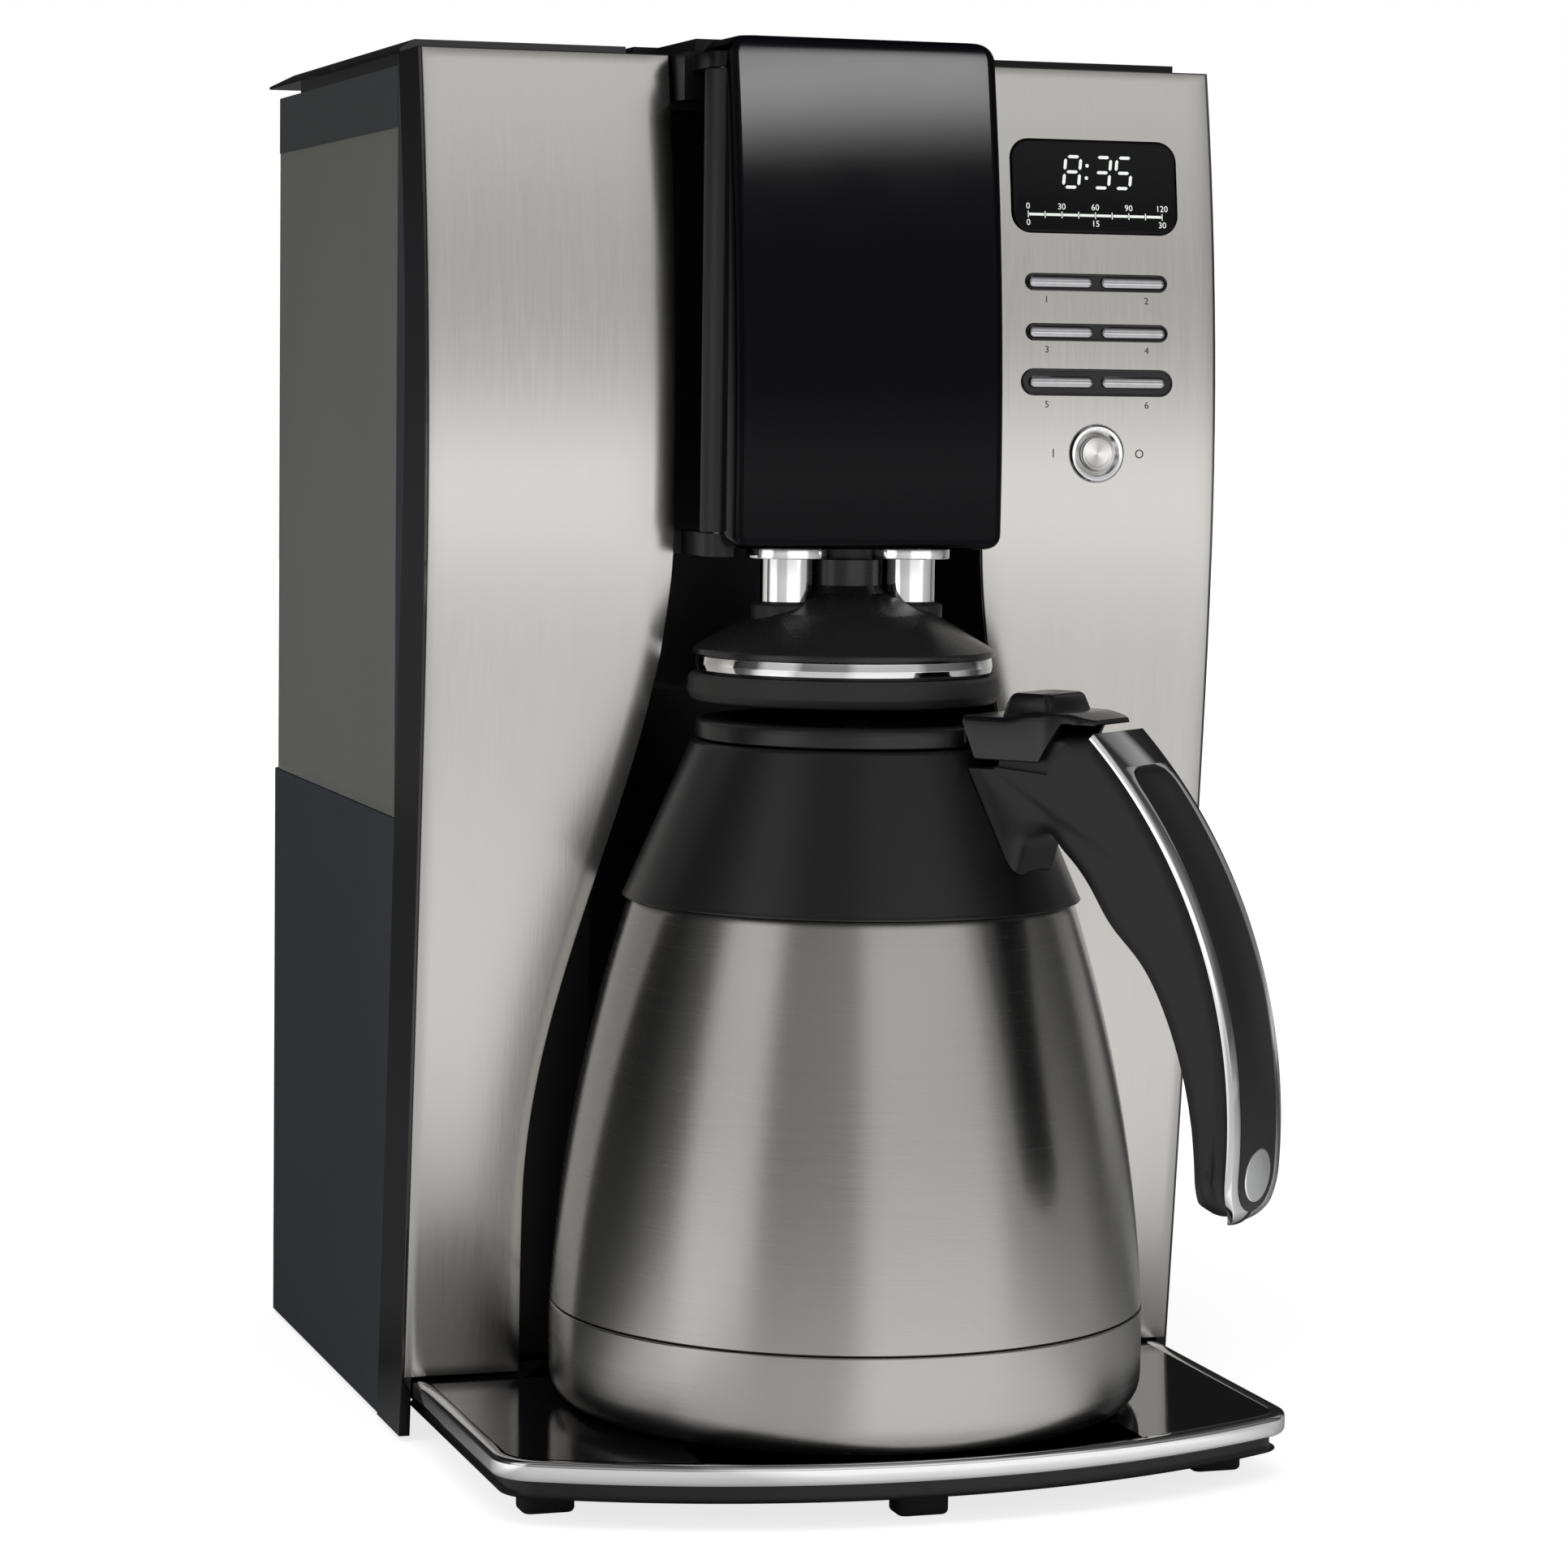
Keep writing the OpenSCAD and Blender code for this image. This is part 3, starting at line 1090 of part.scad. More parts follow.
module carafe_lid() color([0.03, 0.03, 0.035]) bay() difference() {
    union() {
        translate([0, 0, lid_z + 0.4]) cylinder(r = lid_r, h = lid_h - 0.4, $fn = 96);
        translate([0, 0, lid_z - 18]) cylinder(r = 33.3, h = 19, $fn = 96);
        // ears of the lever
        at_lever() for (q = [-1, 1]) {
            block(q * ear_q - ear_t / 2, q * ear_q + ear_t / 2, -lever_s, -lever_s + 8,
                  lever_z - ear_r, lever_z);
            translate([q * ear_q - ear_t / 2, -lever_s, lever_z]) rotate([0, 90, 0])
                cylinder(r = ear_r, h = ear_t);
        }
    }
    translate([0, 0, lid_z - 16]) cylinder(r = 31, h = 17.4, $fn = 96);
    translate([0, 0, lid_z + 3.4]) cylinder(r = 34, h = 5, $fn = 96);
    translate([0, 0, lid_z]) cylinder(r = 6, h = 5);
    translate([0, 0, lid_z - 19]) cylinder(r = 10, h = 5);
    // pouring slot on the far side
    block(-12, 12, 26, 60, lid_z + 1.4, lid_z + 1.9);
    at_lever() translate([-20, -lever_s, lever_z]) rotate([0, 90, 0])
        cylinder(r = lever_pin_r + 0.02, h = 40);
    at_lever() block(-12.6, 12.6, -60, -41.3, lid_z, body_h);
}

module thumb_lever() color([0.03, 0.03, 0.035]) bay() difference() {
    at_lever() {
        translate([-12.4, -lever_s, lever_z]) rotate([0, 90, 0]) cylinder(r = ear_r, h = 24.8);
        block(-12.4, 12.4, -78, -lever_s, lever_z + 2.7, lever_z + 5.8);
        block(-12.4, 12.4, -lever_s - 3.6, -lever_s - 0.2, lever_z - 2, lever_z + 5.8);
        // apron that hangs in front of the rim
        translate([0, -lever_s - ear_r - gap, 0]) rotate([90, 0, 0]) linear_extrude(apron_t)
            polygon([[-apron_half, lever_z - 1], [-apron_half, lever_z + 4.5],
                     [apron_half, lever_z + 4.5], [apron_half, lever_z - 1],
                     [apron_half - 3, lever_z - 7.5], [-apron_half + 3, lever_z - 7.5]]);
        difference() {
            block(-11, 11, -67, -48, lever_z + 5, lever_z + 10);
            translate([-12, -57.5, lever_z + 27.5]) rotate([0, 90, 0]) cylinder(r = 19.5, h = 24);
        }
        block(-1, 1, -65, -50, lever_z + 5, lever_z + 9.5);
    }
    at_lever() translate([-20, -lever_s, lever_z]) rotate([0, 90, 0])
        cylinder(r = lever_pin_r + 0.05, h = 40);
    // the brew door's seal swings past over this corner
    translate([hinge_x, hinge_y, hood_rim - 13]) cylinder(r = 79.4, h = 30, $fn = 180);
}

module lever_pin() color([0.75, 0.75, 0.77]) bay() at_lever()
    translate([-ear_q - 1, -lever_s, lever_z]) rotate([0, 90, 0])
        cylinder(r = lever_pin_r, h = 2 * ear_q + 2);

housing();
rear_cover();
top_cover();
base_tray();
base_trim();
stand_plate();
feet();
left_frame();
right_frame();
left_skin();
right_skin();
bay_liner();
spray_head();
riser_tube();
heater();
thermostats();
water_hose();
hose_clamps();
valve_seat();
seat_seal();
display_lens();
display_board();
control_board();
key_bezels();
button_ring();
cord_inlet();
screws();
hinge_pin();
bar_key_1();
bar_key_2();
bar_key_3();
bar_key_4();
bar_key_5();
bar_key_6();
brew_button();
door_cover();
door_frame();
basket_holder();
filter_basket();
strut_sleeves();
hood();
hood_ring();
hood_seal();
drip_stop();
drip_spring();
tank();
tank_collar();
tank_valve();
reservoir_lid();
carafe_shell();
carafe_base();
carafe_liner();
carafe_shoulder();
carafe_handle();
handle_trim();
handle_insert();
handle_disc();
carafe_lid();
thumb_lever();
lever_pin();
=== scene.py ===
"""Drip coffee maker with a thermal carafe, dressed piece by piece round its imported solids."""
from math import acos, asin, atan2, cos, exp, hypot, pi, radians, sin, sqrt, tan
import bmesh
import bpy
import numpy as np
from mathutils import Matrix, Vector


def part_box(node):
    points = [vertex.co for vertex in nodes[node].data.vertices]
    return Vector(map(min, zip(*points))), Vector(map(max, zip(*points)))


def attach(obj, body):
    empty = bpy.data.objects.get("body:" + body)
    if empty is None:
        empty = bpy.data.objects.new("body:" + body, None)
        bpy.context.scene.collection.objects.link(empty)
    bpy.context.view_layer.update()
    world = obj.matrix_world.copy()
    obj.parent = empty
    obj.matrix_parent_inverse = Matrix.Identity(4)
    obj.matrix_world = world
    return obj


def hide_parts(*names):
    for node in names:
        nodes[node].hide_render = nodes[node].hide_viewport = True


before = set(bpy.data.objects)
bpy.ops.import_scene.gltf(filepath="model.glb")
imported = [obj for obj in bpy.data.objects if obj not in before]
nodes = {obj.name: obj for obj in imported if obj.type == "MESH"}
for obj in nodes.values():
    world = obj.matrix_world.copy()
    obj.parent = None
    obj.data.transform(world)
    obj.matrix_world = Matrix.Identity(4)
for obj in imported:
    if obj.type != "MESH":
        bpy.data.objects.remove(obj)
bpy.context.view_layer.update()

# ------------------------ camera
# A long lens, seen from the left of the front and a little above the top of the carafe.
# The camera stands square to the heading it looks along and is rolled by under a degree.
shell_low, shell_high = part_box("carafe_shell")
carafe_y = (shell_low.y + shell_high.y) / 2
yaw, pitch, roll = (radians(a) for a in (17.592, 4.984, 0.766))
ahead = Vector((sin(yaw) * cos(pitch), cos(yaw) * cos(pitch), -sin(pitch)))
aside = Vector((cos(yaw), -sin(yaw), 0))
above = aside.cross(ahead)


def placed(name, data):
    """A new object in the scene."""
    made = bpy.data.objects.new(name, data)
    bpy.context.scene.collection.objects.link(made)
    return made


camera = placed("camera", bpy.data.cameras.new("camera"))
camera.data.sensor_width = 36
camera.data.lens = 104.76
camera_side, camera_front, camera_high = -0.38248, 1.14606, 0.28697
turn = Matrix((aside * cos(roll) + above * sin(roll),
               above * cos(roll) - aside * sin(roll), -ahead)).transposed()
stand = Matrix.Translation((camera_side, carafe_y - camera_front, camera_high))
camera.matrix_world = stand @ turn.to_4x4()
bpy.context.scene.camera = camera
bpy.context.scene.view_settings.view_transform = "Standard"


# ------------------------ studio
# A white sweep of paper under and behind the object, lit by soft boxes on both sides
# and one overhead. Chrome and steel mirror bright screens in front and darkness behind.
class Shade:
    """One socket of a node tree; sums and products of it add Math nodes."""

    def __init__(self, tree, socket):
        self.tree, self.socket = tree, socket

    def maths(self, operation, *values):
        node = self.tree.nodes.new("ShaderNodeMath")
        node.operation = operation
        for slot, value in zip(node.inputs, values):
            feed(self.tree, slot, value)
        return Shade(self.tree, node.outputs[0])

    def __add__(self, other):
        return self.maths("ADD", self, other)

    def __radd__(self, other):
        return self.maths("ADD", other, self)

    def __sub__(self, other):
        return self.maths("SUBTRACT", self, other)

    def __rsub__(self, other):
        return self.maths("SUBTRACT", other, self)

    def __mul__(self, other):
        return self.maths("MULTIPLY", self, other)

    def __rmul__(self, other):
        return self.maths("MULTIPLY", other, self)

    def __truediv__(self, other):
        return self.maths("DIVIDE", self, other)

    def __pow__(self, other):
        return self.maths("POWER", self, other)

    def __gt__(self, other):
        return self.maths("GREATER_THAN", self, other)

    def least(self, other):
        return self.maths("MINIMUM", self, other)

    def most(self, other):
        return self.maths("MAXIMUM", self, other)


def feed(tree, slot, value):
    """Links a socket or writes a plain value into a node's input."""
    if isinstance(value, Shade):
        tree.links.new(value.socket, slot)
    else:
        slot.default_value = value


class Nodes:
    """The node tree of a material, a world or a lamp, and a method that adds any node."""

    def __init__(self, owner):
        owner.use_nodes = True
        self.tree = owner.node_tree

    def node(self, kind, inputs=None, out=0, **settings):
        node = self.tree.nodes.new("ShaderNode" + kind)
        for name, value in settings.items():
            setattr(node, name, value)
        for name, value in (inputs or {}).items():
            feed(self.tree, node.inputs[name], value)
        return Shade(self.tree, node.outputs[out])


class Finish(Nodes):
    """A material with one Principled shader."""

    def __init__(self, name, **plain):
        self.material = bpy.data.materials.new(name)
        super().__init__(self.material)
        self.shader = self.tree.nodes["Principled BSDF"]
        self.put(**plain)

    def put(self, **values):
        for name, value in values.items():
            feed(self.tree, self.shader.inputs[name.replace("_", " ")], value)

    def place(self, scale=(1, 1, 1)):
        """Object coordinates in metres, stretched."""
        return self.node("Mapping", {"Vector": self.node("TexCoord", out=3), "Scale": scale})

    def mix(self, share, low, high):
        return self.node("Mix", {0: share, 6: low, 7: high}, out=2, data_type="RGBA")

    def noise(self, where, scale, detail=3, rough=0.5):
        return self.node("TexNoise", {"Vector": where, "Scale": scale, "Detail": detail, "Roughness": rough})

    def bump(self, height, depth, strength):
        """Makes the height a bump of that many metres."""
        self.put(Normal=self.node("Bump", {"Height": height, "Distance": depth, "Strength": strength}))


def towards(azimuth, half, soft, x, y):
    """Share of light from one side: 1 within half of an azimuth, which counts from the front to the right."""
    turn, inner, outer = (radians(a) for a in (azimuth, half, half + soft))
    cosine = (x * sin(turn) - y * cos(turn)) / (x * x + y * y) ** 0.5
    return ((cosine - cos(outer)) / (cos(inner) - cos(outer))).most(0).least(1)


def room_sides(x, y):
    """What the room mirrors level with the object: bright screens with dark gaps, and darkness behind."""
    return (towards(17, 24, 9, x, y) * 0.7 + towards(-70, 11, 9, x, y) * 1.05 + towards(118, 6, 6, x, y) * 0.4
            + (0.2 - y * 0.4 / (x * x + y * y) ** 0.5).most(0.04))


def white_room(fill):
    """A world that the camera sees as white, that lights evenly and that mirrors as screens in the dark."""
    world = bpy.data.worlds.new("white room")
    bpy.context.scene.world = world
    room = Nodes(world)
    way = room.node("TexCoord", out="Generated")
    x, y, height = (room.node("SeparateXYZ", {0: way}, out=i) for i in range(3))
    camera_ray, glass_ray, gloss_ray = (room.node("LightPath", out="Is %s Ray" % kind)
                                        for kind in ("Camera", "Transmission", "Glossy"))
    band = ((1 - height * 12).most(0) * 0.7 + ((height - 0.24) * 1.8).most(0).least(0.3)
            - ((height - 0.45) * 2).most(0).least(0.5))
    mirrored = room_sides(x, y) * (0.42 + band)
    back = room.tree.nodes["Background"].inputs
    strength = fill + gloss_ray * (mirrored - fill) + camera_ray.most(glass_ray) * (1 - fill)
    feed(room.tree, back["Strength"], strength)
    back["Color"].default_value = (1, 1, 1, 1)


def soft_box(name, place, aim, size, watts):
    lamp = bpy.data.lights.new(name, "AREA")
    lamp.shape = "RECTANGLE"
    lamp.size, lamp.size_y = size
    lamp.energy = watts
    box = placed(name, lamp)
    box.location = place
    box.rotation_euler = (Vector(aim) - Vector(place)).to_track_quat("-Z", "Y").to_euler()
    return box


white_room(0.34)
for box in (soft_box("overhead box", (-0.2, -0.6, 1.6), (0, 0, 0.2), (1.2, 0.9), 9),
            soft_box("left box", (-1.5, -0.4, 0.7), (0, 0, 0.2), (0.5, 1.2), 5),
            soft_box("right box", (1.2, -1.4, 0.6), (0, 0, 0.2), (0.3, 1.2), 4)):
    box.visible_glossy = False

paper = Finish("white paper", Roughness=0.9, Emission_Strength=1.0)
spot = paper.node("TexCoord", out=3)
away = paper.node("VectorMath", {0: spot}, out=1, operation="LENGTH")
shown = paper.node("LightPath", out="Is Camera Ray") * (0.78 + 0.4 * ((away - 0.3) * 1.6).most(0).least(1))
side, rear = (paper.node("SeparateXYZ", {0: spot}, out=i) for i in (0, 1))
in_mirrors = paper.node("LightPath", out="Is Glossy Ray")
reach = (((away - 0.13) * 6).most(0).least(0.55) - ((away - 0.4) * 0.4).most(0).least(0.22)
         + ((away - 1.5) * 0.75).most(0).least(0.52))
for socket, tone in (("Base_Color", 0.5 - in_mirrors * (rear * 2 + 0.3).most(0).least(0.46)),
                     ("Emission_Color", shown + in_mirrors * reach * room_sides(side, rear))):
    paper.put(**{socket: paper.node("CombineColor", {0: tone, 1: tone, 2: tone})})
floor_mesh = bpy.data.meshes.new("floor")
floor_mesh.from_pydata([(-6, -6, 0), (6, -6, 0), (6, 6, 0), (-6, 6, 0)], [], [(0, 1, 2, 3)])
floor_mesh.materials.append(paper.material)
floor = placed("floor", floor_mesh)


# ------------------------ feet
# Five rubber blocks pressed up into the tray, moulded black with softened lower edges.
# All plans are in millimetres from the carafe's axis, with y to the back.
def mesh_of(name, points, faces):
    """A welded mesh of points in millimetres round the carafe's axis, its faces turned outwards."""
    mesh = bpy.data.meshes.new(name)
    mesh.from_pydata([(x / 1000, y / 1000 + carafe_y, z / 1000) for x, y, z in points], [], faces)
    shape = bmesh.new()
    shape.from_mesh(mesh)
    bmesh.ops.remove_doubles(shape, verts=shape.verts, dist=2e-6)
    bmesh.ops.recalc_face_normals(shape, faces=shape.faces)
    shape.to_mesh(mesh)
    shape.free()
    return mesh


def smooth(mesh, angle):
    """Shades a mesh smooth, apart from edges sharper than an angle."""
    mesh.polygons.foreach_set("use_smooth", [True] * len(mesh.polygons))
    mesh.set_sharp_from_angle(angle=radians(angle))


def piece(name, points, faces, body, slot, finish, replaced=None, angle=40):
    """One visible piece on a body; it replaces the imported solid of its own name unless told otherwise."""
    mesh = mesh_of(name, points, faces)
    smooth(mesh, angle)
    made = placed(name, mesh)
    mesh.materials.append(finish.material)
    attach(made, body)
    if replaced is None:
        replaced = (name,)
    if replaced:
        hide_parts(*replaced)
    return made


def inset(plan, depth):
    """The closed plan drawn in by a depth, along the mitre at each corner."""
    count = len(plan)
    drawn = []
    for i, (x, y) in enumerate(plan):
        ax, ay = plan[i - 1]
        bx, by = plan[(i + 1) % count]
        ux, uy = x - ax, y - ay
        vx, vy = bx - x, by - y
        lu, lv = hypot(ux, uy) or 1, hypot(vx, vy) or 1
        nx, ny = -uy / lu - vy / lv, ux / lu + vx / lv
        length = hypot(nx, ny) or 1
        lean = max(0.4, (nx * -uy / lu + ny * ux / lu) / length)
        drawn.append((x + nx / length * depth / lean, y + ny / length * depth / lean))
    return drawn


def loft(rings, closed=False):
    """Skins rings of equal length in turn; ends are capped unless the last ring meets the first."""
    points, faces, count = [p for ring in rings for p in ring], [], len(rings[0])
    for level in range(len(rings) if closed else len(rings) - 1):
        a, b = level * count, (level + 1) % len(rings) * count
        faces += [(a + i, a + (i + 1) % count, b + (i + 1) % count, b + i) for i in range(count)]
    if not closed:
        faces += [tuple(range(count))[::-1], tuple(range(len(points) - count, len(points)))]
    return points, faces


def stack(plan, levels):
    """Rings of one anticlockwise plan at (inset, z) levels, closed at both ends."""
    return loft([[(x, y, z) for x, y in inset(plan, depth)] for depth, z in levels])


def rounding(radius, z, up, steps=4):
    """(inset, z) levels of a rounded edge at height z, on an upper or lower end."""
    turns = [pi / 2 * i / steps for i in range(steps + 1)]
    if up:
        return [(radius * (1 - cos(a)), z - radius + radius * sin(a)) for a in turns]
    return [(radius * (1 - sin(a)), z + radius - radius * cos(a)) for a in turns]


def arc(radius, start, end, count, x=0, y=0):
    """Points round a centre, from one angle to another."""
    return [(x + radius * cos(a), y + radius * sin(a)) for a in np.linspace(start, end, count)]


def round_box(x0, x1, y0, y1, radius, steps=6):
    """An anticlockwise rectangle with round corners."""
    plan = []
    for cx, cy, start in ((x1 - radius, y0 + radius, -pi / 2), (x1 - radius, y1 - radius, 0),
                          (x0 + radius, y1 - radius, pi / 2), (x0 + radius, y0 + radius, pi)):
        plan += arc(radius, start, start + pi / 2, steps + 1, cx, cy)
    return plan


def joined(parts):
    """Several (points, faces) as one."""
    points, faces = [], []
    for more_points, more_faces in parts:
        base = len(points)
        points += more_points
        faces += [tuple(i + base for i in face) for face in more_faces]
    return points, faces


def grained(name, scale, detail, tone, light=None, rough=0.5, vary=0.0, dent=None,
            stretch=(1, 1, 1), **plain):
    """A finish with a fine grain that lifts its tone to a light one, varies its roughness or dents it."""
    finish = Finish(name, Base_Color=(*tone, 1), Roughness=rough, **plain)
    grain = finish.noise(finish.place(stretch), scale, detail)
    if light:
        finish.put(Base_Color=finish.mix(grain, (*tone, 1), (*light, 1)))
    if vary:
        finish.put(Roughness=rough + grain * vary)
    if dent:
        finish.bump(grain, *dent)
    return finish


rubber = grained("black rubber", 900, 4, (0.012, 0.012, 0.012), (0.022, 0.022, 0.022), rough=0.75,
                 dent=(0.0001, 0.4), Specular_IOR_Level=0.35)
foot_places = ((-92, -36), (92, -36), (0, -62), (-90.5, 204), (90.5, 204))
foot_half_wide, foot_half_deep, foot_corner, foot_high = 7, 5, 2.5, 7.6
piece("feet", *joined([stack(round_box(x - foot_half_wide, x + foot_half_wide, y - foot_half_deep,
                                       y + foot_half_deep, foot_corner),
                             rounding(1.2, 0, False) + [(0, foot_high)]) for x, y in foot_places]),
      "brewer", "rubber", rubber)


# ------------------------ base
# A black moulded tray, a chromed rim round its front and a gloss plate that the carafe
# stands on. The rim is open at the back, where it runs in under the front panels.
platform_half, arc_radius, arc_front, corner_radius = 108.5, 223.5, -80, 14
trim_low, tray_top, plate_top = 12, 15.8, 17.6


def platform(depth, back, steps=40):
    """Anticlockwise plan of the platform from its right rear end to its left, drawn in by a depth."""
    arc_y = arc_radius + arc_front
    corner_x = platform_half - corner_radius
    corner_y = arc_y - sqrt((arc_radius - corner_radius) ** 2 - corner_x ** 2)
    meet = atan2(arc_y - corner_y, corner_x)
    half = [(platform_half - depth, back)] + arc(corner_radius - depth, 0, -meet, 13, corner_x, corner_y)
    half += arc(arc_radius - depth, -meet, -pi / 2, steps + 1, 0, arc_y)[1:]
    return half + [(-x, y) for x, y in half[-2::-1]]


def circle(radius, steps, x=0, y=0):
    return arc(radius, 0, 2 * pi, steps + 1, x, y)[:-1]


def sweep(route, section):
    """A closed section of (inset, z) points along an open plan route(inset), with both ends closed."""
    lines = [[(x, y, z) for x, y in route(depth)] for depth, z in section]
    return loft([list(ring) for ring in zip(*lines)])


def tool(points, faces):
    """A closed shape that only serves to cut another."""
    return placed("tool", mesh_of("tool", points, faces))


def carved(whole, *tools, angle=40):
    """Cuts closed shapes out of a piece and throws them away."""
    for taken in tools:
        cut = whole.modifiers.new("cut", "BOOLEAN")
        cut.operation, cut.object, cut.solver = "DIFFERENCE", taken, "EXACT"
    view = bpy.context.evaluated_depsgraph_get()
    mesh = bpy.data.meshes.new_from_object(whole.evaluated_get(view))
    whole.modifiers.clear()
    smooth(mesh, angle)
    whole.data = mesh
    for taken in tools:
        bpy.data.objects.remove(taken)
    return whole


satin_black = grained("satin black moulding", 2600, 3, (0.01, 0.01, 0.011), (0.016, 0.016, 0.018),
                      rough=0.38, vary=0.12, dent=(0.00006, 0.35), Specular_IOR_Level=0.45)
gloss_black = grained("gloss black moulding", 60, 2, (0.004, 0.004, 0.005), rough=0.06, vary=0.06,
                      Coat_Weight=0.5, Coat_Roughness=0.03)
chrome = grained("chrome plating", 90, 2, (0.83, 0.83, 0.84), (0.88, 0.88, 0.88), rough=0.03, vary=0.04,
                 Metallic=1.0)

tray_low, tray_half, tray_back = 7.5, 108.6, 229.4
tray_edge = rounding(1.5, tray_low, False)
piece("base_tray", *joined([
    stack(platform(4, 60), tray_edge + [(0, trim_low - 0.05)]),
    stack(round_box(-tray_half, tray_half, 78, tray_back, 4), tray_edge + [(0, trim_low)]),
    stack(round_box(-104, 104, 40, 90, 1), [(0, foot_high), (0, trim_low)])]),
    "brewer", "black_plastic", satin_black)

rim_section = (rounding(1.5, trim_low, False) + [(0, plate_top - 1.4)] + rounding(1.4, plate_top, True)[1:]
               + [(3.6, plate_top), (4.2, plate_top - 0.4), (4.4, tray_top), (4.4, trim_low)])
base_rim = piece("base_rim", *sweep(lambda depth: platform(depth, 43.5), rim_section),
                 "brewer", "chrome_trim", chrome, ("base_trim",))
lip_half, lip_wide = 60, 2


def lip(depth, half, steps=30):
    """Plan of the front stretch where the rim is narrow, reaching back over the plate."""
    arc_y, radius = arc_radius + arc_front, arc_radius - depth
    front = [(half * i / steps, arc_y - sqrt(radius ** 2 - (half * i / steps) ** 2))
             for i in range(-steps, steps + 1)]
    return front + [(half, arc_front + 30), (-half, arc_front + 30)]


carved(base_rim, tool(*stack(lip(lip_wide, lip_half), [(0, tray_top), (0, plate_top + 5)])))

bay_half, bay_radius = 78.2, 88
bay_turn = acos(bay_half / bay_radius)
bay_floor = [(bay_half, 40)] + arc(bay_radius, bay_turn, pi - bay_turn, 40) + [(-bay_half, 40)]
plate_edge = [(0, tray_top), (0, plate_top - 0.9)] + [(d, z - 0.3) for d, z in rounding(0.6, plate_top, True)]
piece("stand_plate", *joined([
    stack(platform(4.55, 60), plate_edge), stack(lip(lip_wide + 0.15, lip_half - 0.15), plate_edge),
    stack(bay_floor, [(0, tray_top), (0, plate_top - 0.3)])]),
    "brewer", "gloss_black", gloss_black)


# ------------------------ front panels
# Two skins of brushed stainless sheet, bowed from top to bottom and cut out in the middle
# for the brew head and the carafe. Each is folded over a black moulded frame behind it.
bow_height, bow_y, bow_radius = 264, 22, 545
cut_narrow, cut_wide = 43.2, 79.3
skin_half, panel_top, panel_foot, sheet = 110.8, 374.4, 18.2, 0.75


def bow(z):
    """How far back the front face lies at a height: an arc above, a hyperbola below."""
    if z > bow_height:
        return bow_y + (z - bow_height) ** 2 / (2 * bow_radius)
    return bow_y + 0.112 * (hypot(bow_height - z, 62) - 62)


def cut_half(z):
    """Half width of the cut-out: narrow beside the head, wide beside the carafe."""
    if z >= 250:
        return cut_narrow
    if z <= 66:
        return cut_wide - 1.7 * ((66 - z) / 66) ** 2
    return (cut_wide + cut_narrow) / 2 + (cut_wide - cut_narrow) / 2 * cos(pi * (z - 66) / 184)


def spread(low, high, count, edge=0.35):
    """Places from low to high with two close to each end, and how far each lies behind the face."""
    places = [low, low + edge * 0.35, low + edge]
    places += [low + (high - low) * i / count for i in range(1, count)]
    places += [high - edge, high - edge * 0.35, high]
    return list(zip(places, [edge, edge * 0.25, 0] + [0] * (count - 1) + [0, edge * 0.25, edge]))


def bowed_panel(left, right, low, high, columns=10, rows=110):
    """Sheet that follows the bow from left(z) to right(z), its front edges eased."""
    front, rear = [], []
    for z, sunk in spread(low, high, rows):
        row = [(x, bow(z) + max(sunk, back), z) for x, back in spread(left(z), right(z), columns)]
        front.append(row)
        rear.append([(x, bow(z) + sheet, z) for x, _, _ in row])
    wide, count = len(front[0]), len(front)
    points = [p for row in front + rear for p in row]
    faces = []
    for r in range(count - 1):
        for c in range(wide - 1):
            a, b = r * wide + c, (count + r) * wide + c
            faces += [(a, a + 1, a + wide + 1, a + wide), (b, b + wide, b + wide + 1, b + 1)]
        for a in (r * wide, r * wide + wide - 1):
            faces.append((a, a + wide, a + wide * (count + 1), a + wide * count))
    for a in range(wide - 1):
        for b in (a, a + wide * (count - 1)):
            faces.append((b, b + 1, b + 1 + wide * count, b + wide * count))
    return points, faces


def brushed(name, stretch, base=(0.6, 0.585, 0.56), rough=0.3, streak=0.08, **more):
    """Stainless steel with fine scratches along one direction of the object."""
    steel = Finish(name, Metallic=1.0, **more)
    fine = steel.noise(steel.place(stretch), 1.0, 4, 0.65)
    broad = steel.noise(steel.place([s * 0.2 for s in stretch]), 1.0, 3)
    marks = fine * 0.65 + broad * 0.35
    steel.put(Base_Color=steel.mix(marks, tuple(c * (1 - streak) for c in base) + (1,),
                                   tuple(min(1, c * (1 + streak)) for c in base) + (1,)),
              Roughness=rough - 0.06 + marks * 0.12)
    steel.bump(fine, 0.00002, 0.4)
    return steel


panel_steel = brushed("steel brushed upright", (1500, 300, 70), rough=0.24)
piece("left_skin", *bowed_panel(lambda z: -skin_half, lambda z: -cut_half(z) - 0.3, panel_foot, panel_top),
      "brewer", "steel_panel", panel_steel)
right_skin = piece("right_skin", *bowed_panel(lambda z: cut_half(z) + 0.3, lambda z: skin_half,
                                              panel_foot, panel_top),
                   "brewer", "steel_panel", panel_steel)


def dressed(finish, *names, edge=0.0, steps=2):
    """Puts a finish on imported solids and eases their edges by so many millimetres."""
    for name in names:
        solid = nodes[name]
        solid.data.materials.clear()
        solid.data.materials.append(finish.material)
        if edge:
            solid.modifiers.new("weld", "WELD").merge_threshold = 2e-6
            ease = solid.modifiers.new("ease", "BEVEL")
            ease.width, ease.segments = edge / 1000, steps
            ease.limit_method, ease.angle_limit = "ANGLE", radians(35)
            ease.harden_normals = True


dressed(gloss_black, "left_frame", "right_frame", edge=0.35)

# ------------------------ bay
# One black moulding lines the bay behind the cut-out, from the plate up to the ceiling
# over the basket. It is screwed to the frame from inside and carries the door's lower arm.
dressed(satin_black, "bay_liner")

